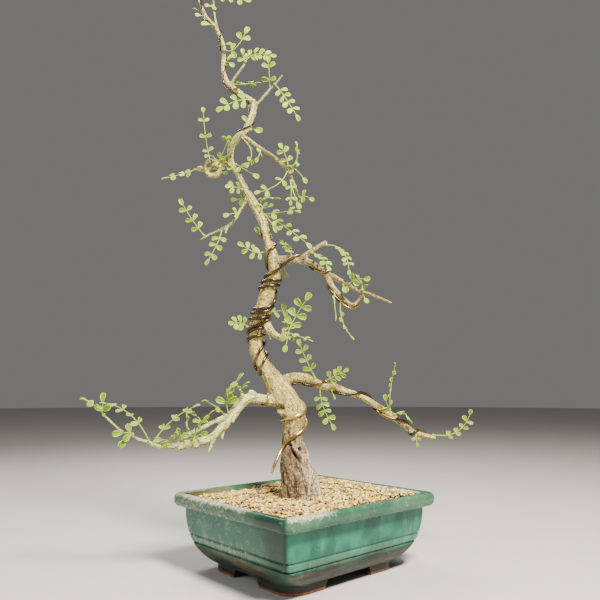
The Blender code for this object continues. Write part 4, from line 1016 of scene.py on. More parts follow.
def pot_body(look):
    """The pot without its feet and holes, lofted from its underside up over the lip and down inside."""
    outside = smooth_line(POT_OUTSIDE, OUTSIDE_STEP)
    bm = bmesh.new()
    inside = bm.verts.layers.float.new("inside")
    ring = []
    for number, (inset, depth, radius) in enumerate(outside + smooth_line(POT_INSIDE, INSIDE_STEP)):
        points = []
        for point in rounded_ring(inset, depth, radius, look.corner_steps, SIDE_POINTS):
            wander = noise.noise(point / WANDER_SIZE) * look.unevenness
            points.append((point + Vector((point.x, point.y, 0)).normalized() * wander) * MM + POT_MIDDLE)
        if not ring:
            ring = [bm.verts.new(point) for point in points]
            bm.faces.new(ring)
            continue
        edges = [bm.edges.get((ring[k - 1], ring[k])) for k in range(len(ring))]
        made = bmesh.ops.extrude_edge_only(bm, edges=edges)["geom"]
        fresh = {item for item in made if isinstance(item, bmesh.types.BMVert)}
        ring = [above(corner, fresh) for corner in ring]
        for corner, point in zip(ring, points):
            corner.co = point
            corner[inside] = float(number >= len(outside))
    bm.faces.new(ring)
    bmesh.ops.recalc_face_normals(bm, faces=bm.faces)
    return mesh_of(bm, "pot body")


def pot_foot(look, sign_x, sign_y):
    """One corner foot: a low wall that follows the corner, spreading up into the belly."""
    corner_x = RIM_LENGTH / 2 - FOOT_INSET
    corner_y = RIM_WIDTH / 2 - FOOT_INSET
    end_x = corner_x - FOOT_REACH
    end_y = corner_y - FOOT_REACH
    wall_x = corner_x - FOOT_WALL
    wall_y = corner_y - FOOT_WALL
    bm = bmesh.new()
    outline = [(end_x, corner_y)]
    for step in range(look.corner_steps + 1):
        angle = pi / 2 * (1 - step / look.corner_steps)
        outline.append((corner_x - FOOT_RADIUS * (1 - cos(angle)), corner_y - FOOT_RADIUS * (1 - sin(angle))))
    outline += [
        (corner_x, end_y), (wall_x, end_y), (wall_x, wall_y - FOOT_FILLET), (wall_x - FOOT_FILLET, wall_y),
        (end_x, wall_y),
    ]
    bottom = bm.faces.new([bm.verts.new(Vector((x, y, 0)) * MM) for x, y in outline])
    top = bmesh.ops.extrude_face_region(bm, geom=[bottom])["geom"]
    for corner in (item for item in top if isinstance(item, bmesh.types.BMVert)):
        corner.co.z = FOOT_RISE * MM
        if corner.co.x < (end_x + WELD) * MM:
            corner.co.x -= FOOT_SPREAD * MM
        if corner.co.y < (end_y + WELD) * MM:
            corner.co.y -= FOOT_SPREAD * MM
    rim = [edge for edge in bm.edges if all(corner.co.z == 0 for corner in edge.verts)]
    bmesh.ops.bevel(
        bm, geom=rim, offset=FOOT_EDGE * MM, segments=2, profile=0.5, material=-1, affect="EDGES",
    )
    bmesh.ops.transform(bm, matrix=Matrix.Diagonal((sign_x, sign_y, 1, 1)), verts=bm.verts)
    bmesh.ops.translate(bm, vec=POT_MIDDLE, verts=bm.verts)
    bmesh.ops.recalc_face_normals(bm, faces=bm.faces)
    return mesh_of(bm, "foot")


def drain_cutter(side):
    """The round bar that cuts one drain hole through the pot's floor."""
    length = POT_HEIGHT / 4
    middle = Vector((side * DRAIN_X, side * DRAIN_Y, length / 2)) * MM + POT_MIDDLE
    radius = DRAIN_RADIUS * MM
    bm = bmesh.new()
    bmesh.ops.create_cone(
        bm, cap_ends=True, segments=DRAIN_SIDES, radius1=radius, radius2=radius, depth=length * MM,
        matrix=Matrix.Translation(middle),
    )
    return mesh_of(bm, "drain")


class BONSAI_OT_pot(bpy.types.Operator):
    """Makes the glazed pot with its lip, grooves, feet and drain holes"""
    bl_idname = "bonsai.pot"
    bl_label = "Glazed Pot"

    def execute(self, context):
        look = context.scene.bonsai_pot
        body = linked("pot body", pot_body(look))
        tools = []
        for sign_x in (-1, 1):
            for sign_y in (-1, 1):
                tools.append((linked("foot", pot_foot(look, sign_x, sign_y)), "UNION"))
        tools += [(linked("drain", drain_cutter(side)), "DIFFERENCE") for side in (-1, 1)]
        for tool, operation in tools:
            join = body.modifiers.new(tool.name, "BOOLEAN")
            join.operation = operation
            join.object = tool
        mesh = evaluated_mesh(body)
        for tool, _ in tools:
            bpy.data.objects.remove(tool)
        piece("glazed_pot", mesh, "teal_glaze", glaze_material(look), nodes=["pot"])
        plastic = screen_material()
        dress("drain_screen_left", plastic)
        dress("drain_screen_right", plastic)
        return {"FINISHED"}


# The grit

STONE_SHAPES = 12
STONE_UNEVENNESS = (0.72, 1.12)
STONE_SIZES = (0.8, 1, 1, 1.15)  # shares of a grain's radius, one drawn for each grain
STONE_WIDTHS = ((0.8, 1.25), (0.75, 1.1), (0.6, 0.95))
STONE_EDGE = radians(35)
WALL_OVERLAP = 0.6  # how near a grain's middle comes to the wall, as a share of its radius
TRUNK_CLEARANCE = 0.84  # where grains stop at the trunk, as a share of its radius there
RAY_START = 20  # over the rim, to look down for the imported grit
STONE_SEAT = 0.7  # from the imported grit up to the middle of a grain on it
HEAP_SLOPE = (-25, 60)  # along the pot's length, from no heap to all of it
LEFT_SINK = (-58, -72)  # from level grit to the sunk edge by the left wall
LEFT_SINK_DEPTH = 1.6
HEAP_ROLL = 0.9
HEAP_ROLL_SIZE = 13
DARK_PATCH_SIZE = 9
DARK_PATCH_START = 0.18  # in noise from -1 to 1
DARK_CHANCE = 0.36
DARK_SHADES = (0, 0.08)
PALE_SHADES = (0.06, 1)


def stone_template(seed):
    """A crushed grain: a small ball with its corners knocked about."""
    rng = random.Random(seed)
    bm = bmesh.new()
    bmesh.ops.create_icosphere(bm, subdivisions=1, radius=1)
    for corner in bm.verts:
        corner.co *= rng.uniform(*STONE_UNEVENNESS)
    bm.verts.index_update()
    corners = np.array([corner.co for corner in bm.verts])
    faces = np.array([[corner.index for corner in face.verts] for face in bm.faces])
    bm.free()
    return corners, faces


def within_pot(x, y, radius):
    """Whether a grain lies within the pot's inner wall."""
    inset, _, corner = POT_INSIDE[1]
    reach_x = abs(x) - (RIM_LENGTH / 2 - inset - corner)
    reach_y = abs(y) - (RIM_WIDTH / 2 - inset - corner)
    reach = max(reach_x, reach_y)
    if reach_x > 0 and reach_y > 0:
        reach = (reach_x ** 2 + reach_y ** 2) ** 0.5
    return reach < corner - radius * WALL_OVERLAP


def grain_top(look, x, y):
    """Height of the topmost grains over the rim: highest at the right, lowest along the left wall."""
    heaped = look.heap * share_between(x, *HEAP_SLOPE)
    sunk = LEFT_SINK_DEPTH * share_between(x, *LEFT_SINK)
    return look.fill + heaped - sunk + HEAP_ROLL * noise.noise(Vector((x, y, 0)) / HEAP_ROLL_SIZE)


def grain_places(look, surface, rng):
    """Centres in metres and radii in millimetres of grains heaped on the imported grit, in layers."""
    *foot, foot_radius = TRUNK[3]
    foot = in_front_view(*foot)
    row_pitch = look.pitch * 3 ** 0.5 / 2
    for row in range(int(RIM_WIDTH / row_pitch)):
        for column in range(int(RIM_LENGTH / look.pitch)):
            spot_x = (column + 0.5 * (row % 2)) * look.pitch - RIM_LENGTH / 2
            spot_y = row * row_pitch - RIM_WIDTH / 2
            spot = Vector((spot_x, spot_y, POT_HEIGHT + RAY_START)) * MM + POT_MIDDLE
            if (spot - foot).to_2d().length < foot_radius * TRUNK_CLEARANCE * MM:
                continue
            if not within_pot(spot_x, spot_y, 0):
                continue
            hit = surface.ray_cast(spot, Vector((0, 0, -1)))[0]
            if hit is None:
                continue
            ground = hit.z / MM - POT_HEIGHT
            layers = 1 + int((grain_top(look, spot_x, spot_y) - ground) / look.layer)
            for layer in range(max(1, layers)):
                radius = rng.uniform(look.smallest, look.largest) * rng.choice(STONE_SIZES)
                x = spot_x + rng.uniform(-0.5, 0.5) * look.pitch
                y = spot_y + rng.uniform(-0.5, 0.5) * look.pitch
                if within_pot(x, y, radius):
                    height = POT_HEIGHT + ground + STONE_SEAT
                    height += (layer + rng.uniform(-0.25, 0.25)) * look.layer
                    yield Vector((x, y, height)) * MM + POT_MIDDLE, radius


def shaded_under(height):
    """How far a grain's corner is in the grain's own shade, by its height over the middle."""
    return min(0.9, max(0.0, 0.25 - height) * 1.2)


class BONSAI_OT_grit(bpy.types.Operator):
    """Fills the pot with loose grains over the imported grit"""
    bl_idname = "bonsai.grit"
    bl_label = "Grit"

    def execute(self, context):
        look = context.scene.bonsai_grit
        rng = random.Random(look.seed)
        dress("soil", soil_material(look))
        surface = surface_of([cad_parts["soil"].data])
        templates = [stone_template(look.seed + number) for number in range(STONE_SHAPES)]
        corners = []
        faces = []
        shades = []
        painted_shades_under = []
        count = 0
        for centre, radius in grain_places(look, surface, rng):
            shape, sides = rng.choice(templates)
            angle = rng.uniform(0, 2 * pi)
            turn = Matrix.Rotation(angle, 3, (rng.random(), rng.random(), rng.random() + 0.1))
            size = np.diag([rng.uniform(*width) for width in STONE_WIDTHS])
            turned = shape @ np.array(turn) @ size
            corners.append(turned * radius * MM + np.array(centre))
            # painted shade for each corner on a grain's underside
            painted_shades_under += [shaded_under(height) for height in turned[:, 2]]
            faces.append(sides + count)
            count += len(shape)
            patch = noise.noise(centre / (DARK_PATCH_SIZE * MM)) > DARK_PATCH_START
            dark = patch and rng.random() < DARK_CHANCE
            shade = rng.uniform(*DARK_SHADES) if dark else rng.uniform(*PALE_SHADES) ** 0.9
            shades += [shade] * len(shape)
        mesh = bpy.data.meshes.new("grit")
        mesh.from_pydata(np.vstack(corners), [], np.vstack(faces))
        give_corners(mesh, "shade", "FLOAT", shades)
        give_corners(mesh, "under", "FLOAT", painted_shades_under)
        piece("grit_grains", mesh, "cream_grit", grit_material(look), sharp=STONE_EDGE)
        mesh.update()
        return {"FINISHED"}


# The wood

ROOT_FLARES = [
    [(2, 16, 5, 8), (6.5, 4, 7, 9.5), (8.5, -8, 8, 9.5)],
    [(-11, 16, 5, 8), (-13, 4, 7, 9.5), (-14.5, -8, 8, 9)],
    [(-5, 10, 9, 8), (-4, -1, 13, 9), (-4, -10, 14, 8)],
    [(-2, 8, -8, 9), (3, -4, -11, 9.5)],
]
KNOBS = [
    [(-60, 72, 23, 3.6), (-62, 67, 28, 2.4), (-62, 63, 30, 1.1)],
    [(-69, 62, 28, 3.4), (-67, 58, 30, 1.6)],
    [(-45, 85, 12, 3.8), (-47, 89, 15, 2.6), (-50, 90, 17, 1.2)],
    [(-90, 47, 38, 3.4), (-93, 43, 41, 2.4)],
    [(-104, 45, 40, 3.0), (-106, 41, 43, 1.8)],
]
KNOT = [
    [(-98, 307, -12, 2.0), (-93, 303, -9, 2.9), (-86, 304, -8, 3.1), (-83, 310, -8, 2.9), (-86, 316, -8, 2.7),
     (-92, 319, -8, 2.3), (-98, 317, -10, 1.8), (-100, 312, -12, 1.5), (-98, 307, -12, 1.3)],
    [(-83, 310, -8, 2.6), (-88, 313, -6, 2.6), (-92, 312, -6, 1.6)],
    [(-84, 316, -8, 2.2), (-77, 321, -5, 1.9), (-71, 328, 0, 1.8)],
    [(-100, 311, -13, 1.8), (-106, 314, -16, 2.2), (-108, 312, -17, 1.6)],
]
LIMBS = [  # (points, the bark's tint, whether it turns green toward its tip)
    (TRUNK, "cream", False),
    (LOW_LEFT, "lichen", False),
    (LOW_RIGHT, "cream", False),
    (HIGH_RIGHT, "grey", False),
    (HIGH_FORK, "grey", False),
    (HIGH_STUB, "grey", False),
    (DIAGONAL, "grey", False),
    (TOP_SHOOT, "shoot", False),
    *[(points, "lichen", False) for points in LOW_LEFT_TWIGS],
    *[(points, "cream", False) for points in TRUNK_TWIGS],
    *[(points, "grey", True) for points in UPPER_TWIGS],
    *[(points, "cream", False) for points in KNOT],
    *[(points, "caudex", False) for points in ROOT_FLARES],
    *[(points, "lichen", False) for points in KNOBS],
]
TRUNK_AGES = [  # (the bark's tint, its greatest share, heights over the rim from none of it to that share)
    ("caudex", 1, 74, 44),
    ("lichen", 0.6, 200, 320),
    ("grey", 0.7, 330, 500),
]
# Scars on the front of the wood: (across, up, half width, half height, lean in degrees, depth sunk,
# darkness painted in as shade). A depth below zero stands up, and a darkness below zero is pale.
SCARS = [
    (-3.6, 39.5, 2.7, 2.5, 0, 3.4, 1.0),
    (-6.6, 37.8, 10.5, 2.4, -50, -2.2, -0.5),
    (-8.6, 34.6, 10.0, 2.2, -52, 3.6, 1.0),
    (-12.5, 42.5, 3.2, 2.2, -30, 1.8, 0.9),
    (-22.4, 75.4, 4.8, 3.2, -10, 3.6, 0.55),
    (-22.2, 71.0, 7.2, 1.8, -14, -2.4, -0.8),
    (-15.0, 52.0, 1.5, 5.0, 8, 1.1, 0.5),
    (-8.0, 8.0, 1.4, 10.0, 6, 1.3, 0.5),
    (3.0, 4.0, 1.3, 8.0, -8, 1.2, 0.5),
    (-16.0, 2.0, 1.3, 7.0, 10, 1.2, 0.5),
]
TINT_STEP = 1.5
LIMB_STEP = 2.0
LIMB_SIDES = 20
BLOCK = 4000  # corners whose nearest samples are found at once
OLD_HEIGHTS = (60, 10)  # over the rim, from young bark to fully furrowed bark
OLD_RADIUS = 8  # the least radius that carries furrowed bark
SCARRED_RADIUS = 6
FULL_RELIEF_RADIUS = 5
LUMP_SQUASH = 0.4  # a lump's width as a share of its height
FLAKE_SIZE = 2.4
FURROW_SIZE = 2.2
FURROW_DEPTH = 1.6  # against a flake's
LIT_FLANK_REACH = (0.1, 0.8)  # painted light, toward the viewer's right, as a share of the radius
LIT_FLANK_SHARE = 0.85
TINT_ROUNDS = 10
FURROW_ROUNDS = 4
WOOD_EDGE = radians(75)
EVENING = 3


def limb_samples(look):
    """For points along every limb: place in metres, radius and length run in millimetres, and tint."""
    samples = []
    for points, tint, greening in LIMBS:
        line = smooth_line(points, TINT_STEP)
        run = 0.0
        for number, row in enumerate(line):
            run += float(np.linalg.norm(row[:3] - line[max(number - 1, 0)][:3]))
            colour = Vector(getattr(look, tint))
            if greening:
                colour = colour.lerp(Vector(look.shoot), number / len(line))
            if points is TRUNK:
                for aged, most, start, end in TRUNK_AGES:
                    share = most * share_between(row[1], start, end)
                    colour = colour.lerp(Vector(getattr(look, aged)), share)
            samples.append((in_front_view(*row[:3]), row[3], run, colour))
    return samples


def nearest_samples(corners, samples):
    """For every corner, the number of the sample whose skin lies nearest."""
    places = np.array([sample[0] for sample in samples], np.float32)
    radii = np.array([sample[1] for sample in samples], np.float32) * MM
    found = []
    for block in np.array_split(corners.astype(np.float32), max(1, len(corners) // BLOCK)):
        off = np.linalg.norm(block[:, None, :] - places[None], axis=2) - radii[None]
        found.append(off.argmin(axis=1))
    return np.concatenate(found)


def evened(mesh, values, rounds):
    """Values on a mesh's corners, each round replaced by the mean with its neighbours'."""
    edges = np.zeros(len(mesh.edges) * 2, np.int32)
    mesh.edges.foreach_get("vertices", edges)
    edges = edges.reshape(-1, 2)
    count = np.bincount(edges.ravel(), minlength=len(values))[:, None] + 1.0
    for _ in range(rounds):
        total = values.copy()
        np.add.at(total, edges[:, 0], values[edges[:, 1]])
        np.add.at(total, edges[:, 1], values[edges[:, 0]])
        values = total / count
    return values


def scar_effect(across, up, facing):
    """How far a corner on the front sinks in millimetres, how much painted shade it gets and how pale it is.
    """
    sunk = 0.0
    dark = 0.0
    pale = 0.0
    for middle_across, middle_up, half_width, half_height, lean, depth, shade in SCARS:
        right = across - middle_across
        rise = up - middle_up
        if abs(right) + abs(rise) > 1.5 * (half_width + half_height):
            continue
        turned = right * cos(radians(lean)) + rise * sin(radians(lean))
        square = -right * sin(radians(lean)) + rise * cos(radians(lean))
        reach = (turned / half_width) ** 2 + (square / half_height) ** 2
        if reach < 1 and facing > 0:
            sunk += depth * (1 - reach) ** 1.5 * min(1, facing * 2)
            shade *= (1 - reach) ** 0.7
            dark = max(dark, shade)
            pale = max(pale, -shade)
    return sunk, dark, pale


def add_bark(mesh, look):
    """Sinks and raises the wood's corners as bark, and gives them the values that its material reads."""
    samples = limb_samples(look)
    corners = np.array([corner.co for corner in mesh.vertices])
    nearest = nearest_samples(corners, samples)
    toward = front_direction(0, 0, 1)
    right = front_direction(1, 0, 0)
    furrows = []
    scar_shades = []
    ages = []
    tints = []
    normals = [corner.normal.copy() for corner in mesh.vertices]
    for corner, normal, number in zip(mesh.vertices, normals, nearest):
        centre, radius, run, colour = samples[number]
        out = corner.co - centre
        place = (corner.co - POT_MIDDLE) / (look.lump * MM)
        place.z *= LUMP_SQUASH
        share = look.sunk * (0.5 + 0.5 * noise.noise(place))
        up = (corner.co.z - POT_HEIGHT * MM) / MM
        across = (corner.co - POT_MIDDLE).dot(right) / MM
        age = share_between(up, *OLD_HEIGHTS) if radius > OLD_RADIUS else 0.0
        furrow = out / MM + Vector((0, 0, look.stretch * run))
        rough = noise.noise(corner.co / (FLAKE_SIZE * MM))
        rough += age * FURROW_DEPTH * noise.noise(furrow / FURROW_SIZE)
        sunk, dark, pale = 0.0, 0.0, 0.0
        if radius > SCARRED_RADIUS:
            sunk, dark, pale = scar_effect(across, up, normal.dot(toward))
        depth = rough * look.fine_relief * min(1, radius / FULL_RELIEF_RADIUS) + sunk
        corner.co = corner.co.lerp(centre, share) - normal * depth * MM
        furrows.append(furrow)
        scar_shades.append(dark)
        ages.append(age)
        # painted light: old bark is paler on the side toward the viewer's right
        lit_flank = age * share_between(out.dot(right) / MM / radius, *LIT_FLANK_REACH)
        tints.append((*colour.lerp(Vector(look.lit_flank), max(lit_flank * LIT_FLANK_SHARE, pale)), 1))
    tints = evened(mesh, np.array(tints), TINT_ROUNDS)
    furrows = evened(mesh, np.array(furrows), FURROW_ROUNDS)
    give_corners(mesh, "furrow", "FLOAT_VECTOR", furrows)
    give_corners(mesh, "scar", "FLOAT", scar_shades)
    give_corners(mesh, "age", "FLOAT", ages)
    give_corners(mesh, "tint", "FLOAT_COLOR", tints)
    mesh.update()


class BONSAI_OT_wood(bpy.types.Operator):
    """Grows the caudex, trunk and branches as one skin with bark"""
    bl_idname = "bonsai.wood"
    bl_label = "Wood"

    def execute(self, context):
        look = context.scene.bonsai_wood
        lines = []
        for points, _, _ in LIMBS:
            rows = smooth_line(points, LIMB_STEP)
            lines.append([(in_front_view(*row[:3]), row[3]) for row in rows])
        body = linked("wood", tubes(lines, LIMB_SIDES, "wood lines"))
        skin = body.modifiers.new("skin", "REMESH")
        skin.mode = "VOXEL"
        skin.voxel_size = look.voxel * MM
        even = body.modifiers.new("even", "SMOOTH")
        even.iterations = EVENING
        mesh = evaluated_mesh(body)
        add_bark(mesh, look)
        piece("wood", mesh, "pale_bark", bark_material(look), nodes=["trunk"], sharp=WOOD_EDGE)
        return {"FINISHED"}


# The training wires: each follows its limbs, is laid on the bark and drawn smooth

WINDING_STEP = 18  # degrees
STANDS_OFF = 1.6  # further than this off the bark, a point of the wire stays where it is
PRESSED_IN = 0.1
WIRE_CLEARANCE = 0.95  # a wire's middle from the bark, as a share of the wire's radius
SWEEPS = 22
LIFTED_SWEEPS = 18


def limb_frame(limb, place):
    """Centre, radius and the two directions square to the limb at a place counted in its points."""
    low = min(int(place), len(limb) - 2)
    share = place - low
    start = in_front_view(*limb[low][:3])
    end = in_front_view(*limb[low + 1][:3])
    radius = limb[low][3] + (limb[low + 1][3] - limb[low][3]) * share
    near = in_front_view(*limb[max(low - 1, 0)][:3])
    far = in_front_view(*limb[min(low + 2, len(limb) - 1)][:3])
    along = (end - near).normalized().lerp((far - start).normalized(), share).normalized()
    toward = front_direction(0, 0, 1)
    front = (toward - along * toward.dot(along)).normalized()
    return start.lerp(end, share), radius, front, along.cross(front)


def wound_points(limb, turns, wire_radius):
    """The points of a wire's centre line wound on a limb."""
    points = []
    for (place_a, angle_a), (place_b, angle_b) in zip(turns, turns[1:]):
        steps = max(1, round(abs(angle_b - angle_a) / WINDING_STEP))
        for step in range(steps):
            share = step / steps
            centre, radius, front, side = limb_frame(limb, place_a + (place_b - place_a) * share)
            angle = radians(angle_a + (angle_b - angle_a) * share)
            points.append(centre + (front * cos(angle) + side * sin(angle)) * (radius + wire_radius) * MM)
    return points


def laid_on(surface, point, radius):
    """The point of a wire's centre line laid on the bark, unless the wire stands well off it there."""
    found, normal, _, distance = surface.find_nearest(point)
    outside = (point - found).dot(normal) > 0
    if outside and distance > (radius + STANDS_OFF) * MM:
        return point
    return found + normal * (radius - PRESSED_IN) * MM


def smoothed(points, surface, clearance):
    """The points drawn smooth in small sweeps, and kept out of the bark until the last few."""
    for sweep in range(SWEEPS):
        inner = [a * 0.25 + b * 0.5 + c * 0.25 for a, b, c in zip(points, points[1:], points[2:])]
        points = [points[0], *inner, points[-1]]
        if sweep < LIFTED_SWEEPS:
            points = [lifted_off(surface, point, clearance) for point in points]
    return points


class BONSAI_OT_wires(bpy.types.Operator):
    """Winds the training wires on the bark"""
    bl_idname = "bonsai.wires"
    bl_label = "Training Wires"

    def execute(self, context):
        look = context.scene.bonsai_wires
        surface = surface_of([bpy.data.objects["wood"].data])
        copper = wire_material("copper_wire", look.copper, look.glint)
        lit_copper = wire_material("golden_wire", look.lit_copper, look.lit_copper_glint)
        for name, (radius, free, stretches) in WIRES.items():
            radius *= look.swell
            points = [in_front_view(*point) for point in free]
            for limb, turns in stretches:
                points += [laid_on(surface, point, radius) for point in wound_points(limb, turns, radius)]
            points = [Vector(point) for point in smooth_line(points, look.step * MM)]
            points = smoothed(points, surface, radius * WIRE_CLEARANCE)
            mesh = tubes([[(point, radius) for point in points]], look.sides, name)
            # painted light: the low wire gets the lit copy of the copper coat
            finish = lit_copper if name == "wire_low" else copper
            piece("wound_" + name, mesh, "copper_wire", finish, nodes=[name])
        return {"FINISHED"}


# The leaves

PETIOLE_SHARE = 0.3  # of a rib, below its first pair of leaflets
LAST_PAIR_SHARE = 0.86
PAIR_SHIFT = 0.012  # of a rib, how far a leaflet may stand from its pair's place
LEAFLET_ANGLE = radians(62)
LEAFLET_SIZES = (0.92, 1.06)
LEAFLET_ROWS = 7
LEAFLET_COLUMNS = 6
LEAFLET_STALK = (0.07, 0.1)  # shares of a leaflet's length, to its blade's foot and on into the blade
LEAFLET_STALK_RADIUS = 0.2
BARK_CLEARANCE = 0.5
STALK_STEPS = 12
STALK_SIDES = 6
STALK_RADIUS = 0.5
STALK_TAPER = 0.22
STALK_FOOT = [(-0.3, 0.75), (0.4, 0.62)]  # (out from the bark, radius)
SEAT = 0.85  # from the bark out to where a lone leaf's stalk starts
BUD_RADIUS = 1.4
TWIG_END_RADIUS = 1.05
BUD_STRETCH = 1.2
CAD_GAP = 0.35  # from the bark to a solid bud
LEAST_YOUTH = 0.3
GREEN_RISE_UP = 0.05  # lighter green for each pot's height up
STALK_FINISH = 1
BUD_FINISH = 2


class Leaf:
    """A pinnate leaf's rib: a parabola from its base past a point to its tip."""

    def __init__(self, base, bend, tip, facing, leaflet):
        self.base = base
        self.tip = tip
        self.control = 2 * bend - (base + tip) / 2
        self.facing = facing
        length = (bend - base).length + (tip - bend).length
        self.rib_end = 1 - leaflet * MM / length

    def at(self, share):
        """Place, direction, side and upper side of the rib at a share of its length."""
        share *= self.rib_end
        point = (1 - share) ** 2 * self.base + 2 * share * (1 - share) * self.control + share ** 2 * self.tip
        along = ((1 - share) * (self.control - self.base) + share * (self.tip - self.control)).normalized()
        side = self.facing.cross(along).normalized()
        return point, along, side, along.cross(side)


def half_width(along):
    """Half the width of an obovate leaflet at a share of its length, at most about 1."""
    return 1.22 * along ** 0.62 * max(0.0, 1 - along ** 3.6) ** 0.5


def add_leaflet(bm, blade, foot, out, over, length, look, rng, surface, youth):
    """A folded, drooping blade kept off the bark. Gives how far it was moved out for that."""
    fresh = bmesh.ops.create_grid(
        bm, x_segments=LEAFLET_ROWS, y_segments=LEAFLET_COLUMNS, size=1,
    )["verts"]
    side = out.cross(over).normalized()
    turn = Matrix.Rotation(rng.gauss(0, 0.5) * look.turn, 3, out)
    tilt = Matrix.Rotation(rng.gauss(0, 0.4) * look.turn, 3, side)
    out, side, over = (tilt @ turn @ way for way in (out, side, over))
    width = look.width * rng.uniform(0.9, 1.1)
    fold = look.fold * rng.uniform(0.4, 1.4)
    droop = look.droop * rng.uniform(0.2, 1.8)
    green = min(1, max(0, rng.gauss(youth, 0.2)))
    for corner in fresh:
        along = (1 - cos((corner.co.x + 1) / 2 * pi)) / 2
        aside = corner.co.y
        half = half_width(along) * width
        cup = fold * abs(aside) * half * 2 + 0.25 * half * aside ** 2 * fold - droop * along ** 2
        wave = 0.015 * sin(9 * along + 6 * green) * abs(aside)
        corner[blade] = (along, aside, green)
        corner.co = foot + (out * along + side * aside * half + over * (cup + wave)) * length * MM
    push = Vector((0, 0, 0))
    for corner in fresh:
        lifted = lifted_off(surface, corner.co, BARK_CLEARANCE) - corner.co
        if lifted.length > push.length:
            push = lifted
    bmesh.ops.translate(bm, vec=push, verts=fresh)
    bmesh.ops.remove_doubles(bm, verts=fresh, dist=2 * WELD * MM)
    return push


def rib_line(leaf, found, normal, surface):
    """A leaf's stalk and rib as one tube's points and radii, from inside the bark to its last leaflet."""
    line = [(found + normal * out * MM, radius) for out, radius in STALK_FOOT]
    for step in range(STALK_STEPS + 1):
        share = step / STALK_STEPS
        point = lifted_off(surface, leaf.at(share)[0], BARK_CLEARANCE)
        line.append((point, STALK_RADIUS - STALK_TAPER * share))
    return line


def leaflet_spots(pairs, rng):
    """Where a leaf's leaflets stand: (share of the rib, side of it), ending with the one at its tip."""
    spots = []
    for pair in range(pairs):
        share = PETIOLE_SHARE + (LAST_PAIR_SHARE - PETIOLE_SHARE) * pair / max(pairs - 1, 1)
        spots += [(share + rng.uniform(-PAIR_SHIFT, PAIR_SHIFT), side) for side in (1, -1)]
    return [*spots, (1, 0)]


def paint_from(bm, first, material):
    """Gives the faces from the first one on that one of the piece's materials."""
    bm.faces.ensure_lookup_table()
    for face in bm.faces[first:]:
        face.material_index = material


def spray_mesh(name, bud, leaves, surface, look, rng):
    """One spray: stalks, leaflets and the bud or twig end that they grow from."""
    found, normal, _, _ = surface.find_nearest(in_front_view(*bud))
    seat, bud_radius = BUD_RADIUS + CAD_GAP, BUD_RADIUS
    if len(leaves) == 1:
        seat, bud_radius = SEAT, TWIG_END_RADIUS
    base = found + normal * seat * MM
    # sprays higher up are given lighter green
    youth = LEAST_YOUTH + GREEN_RISE_UP * base.z / POT_HIGH.z
    bm = bmesh.new()
    blade = bm.verts.layers.float_vector.new("blade")
    stalks = []
    for bend, tip, facing, pairs, leaflet in leaves:
        facing = front_direction(*FACINGS[facing])
        leaf = Leaf(base, in_front_view(*bend), in_front_view(*tip), facing, leaflet)
        stalks.append(rib_line(leaf, found, normal, surface))
        for share, sign in leaflet_spots(pairs, rng):
            point, along, side, over = leaf.at(share)
            out = along
            if sign:
                angle = LEAFLET_ANGLE + rng.gauss(0, 0.1)
                out = (along * cos(angle) + side * sign * sin(angle)).normalized()
            size = leaflet * rng.uniform(*LEAFLET_SIZES)
            to_blade, into_blade = LEAFLET_STALK
            foot = point + out * to_blade * size * MM
            push = add_leaflet(bm, blade, foot, out, over, size, look, rng, surface, youth)
            end = foot + push + out * into_blade * size * MM
            stalks.append([(point, LEAFLET_STALK_RADIUS), (end, LEAFLET_STALK_RADIUS)])
    bmesh.ops.recalc_face_normals(bm, faces=bm.faces)
    bmesh.ops.solidify(bm, geom=bm.faces, thickness=look.thickness * MM)
    bmesh.ops.recalc_face_normals(bm, faces=bm.faces)
    blades = len(bm.faces)
    bm.from_mesh(tubes(stalks, STALK_SIDES, "stalks"))
    paint_from(bm, blades, STALK_FINISH)
    stalked = len(bm.faces)
    stretch = normal.to_track_quat("Z", "Y").to_matrix().to_4x4() @ Matrix.Diagonal((1, 1, BUD_STRETCH, 1))
    where = Matrix.Translation(found + normal * 0.5 * bud_radius * MM) @ stretch
    bmesh.ops.create_icosphere(bm, subdivisions=2, radius=bud_radius * MM, matrix=where)
    paint_from(bm, stalked, BUD_FINISH)
    return mesh_of(bm, name)


class BONSAI_OT_leaves(bpy.types.Operator):
    """Grows the sprays of pinnate leaves and the small single ones"""
    bl_idname = "bonsai.leaves"
    bl_label = "Leaves"

    def execute(self, context):
        look = context.scene.bonsai_leaves
        rng = random.Random(look.seed)
        finishes = [leaflet_material(look), stalk_material(look), bud_material(look)]
        wires = [node.data for name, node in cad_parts.items() if name.startswith("wire")]
        surface = surface_of([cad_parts["trunk"].data, *wires])
        for name, bud, leaves in SPRAYS:
            mesh = spray_mesh(name, bud, leaves, surface, look, rng)
            piece("leaves_" + name, mesh, "leaf_green", *finishes, nodes=["spray_" + name])
        for name, bud, leaves in SINGLE_LEAVES:
            mesh = spray_mesh(name, bud, leaves, surface, look, rng)
            piece("leaf_" + name, mesh, "leaf_green", *finishes)
        return {"FINISHED"}


# The stage

CAMERA_LENS = 35.0
CAMERA_PLACE = (-4.0, 88.8, 547.3)
CAMERA_PITCH = radians(9.02)
SENSOR_WIDTH = 36
FLOOR_RADIUS = 6.0
FLOOR_SIDES = 96
SKY_COLOUR = (0.82, 0.81, 0.78)
LIT_PLACE = (-10, 180, 0)
LIGHTS = [  # (name, place in the tree's front view, diameter in metres, colour)
    ("key", (330, 860, 560), 0.26, (1, 0.94, 0.84)),
    ("fill", (-760, 320, 420), 0.7, (0.97, 0.99, 1)),
    ("back", (-300, 820, -560), 0.5, (1, 0.97, 0.92)),
]


def add_light(name, place, target, size, power, colour):
    """A round soft light that faces its target."""
    light = bpy.data.lights.new(name, "AREA")
    light.shape = "DISK"
    light.size = size
    light.energy = power
    light.color = colour
    made = bpy.data.objects.new(name, light)
    bpy.context.scene.collection.objects.link(made)
    made.location = place
    made.rotation_euler = (target - place).to_track_quat("-Z", "Y").to_euler()


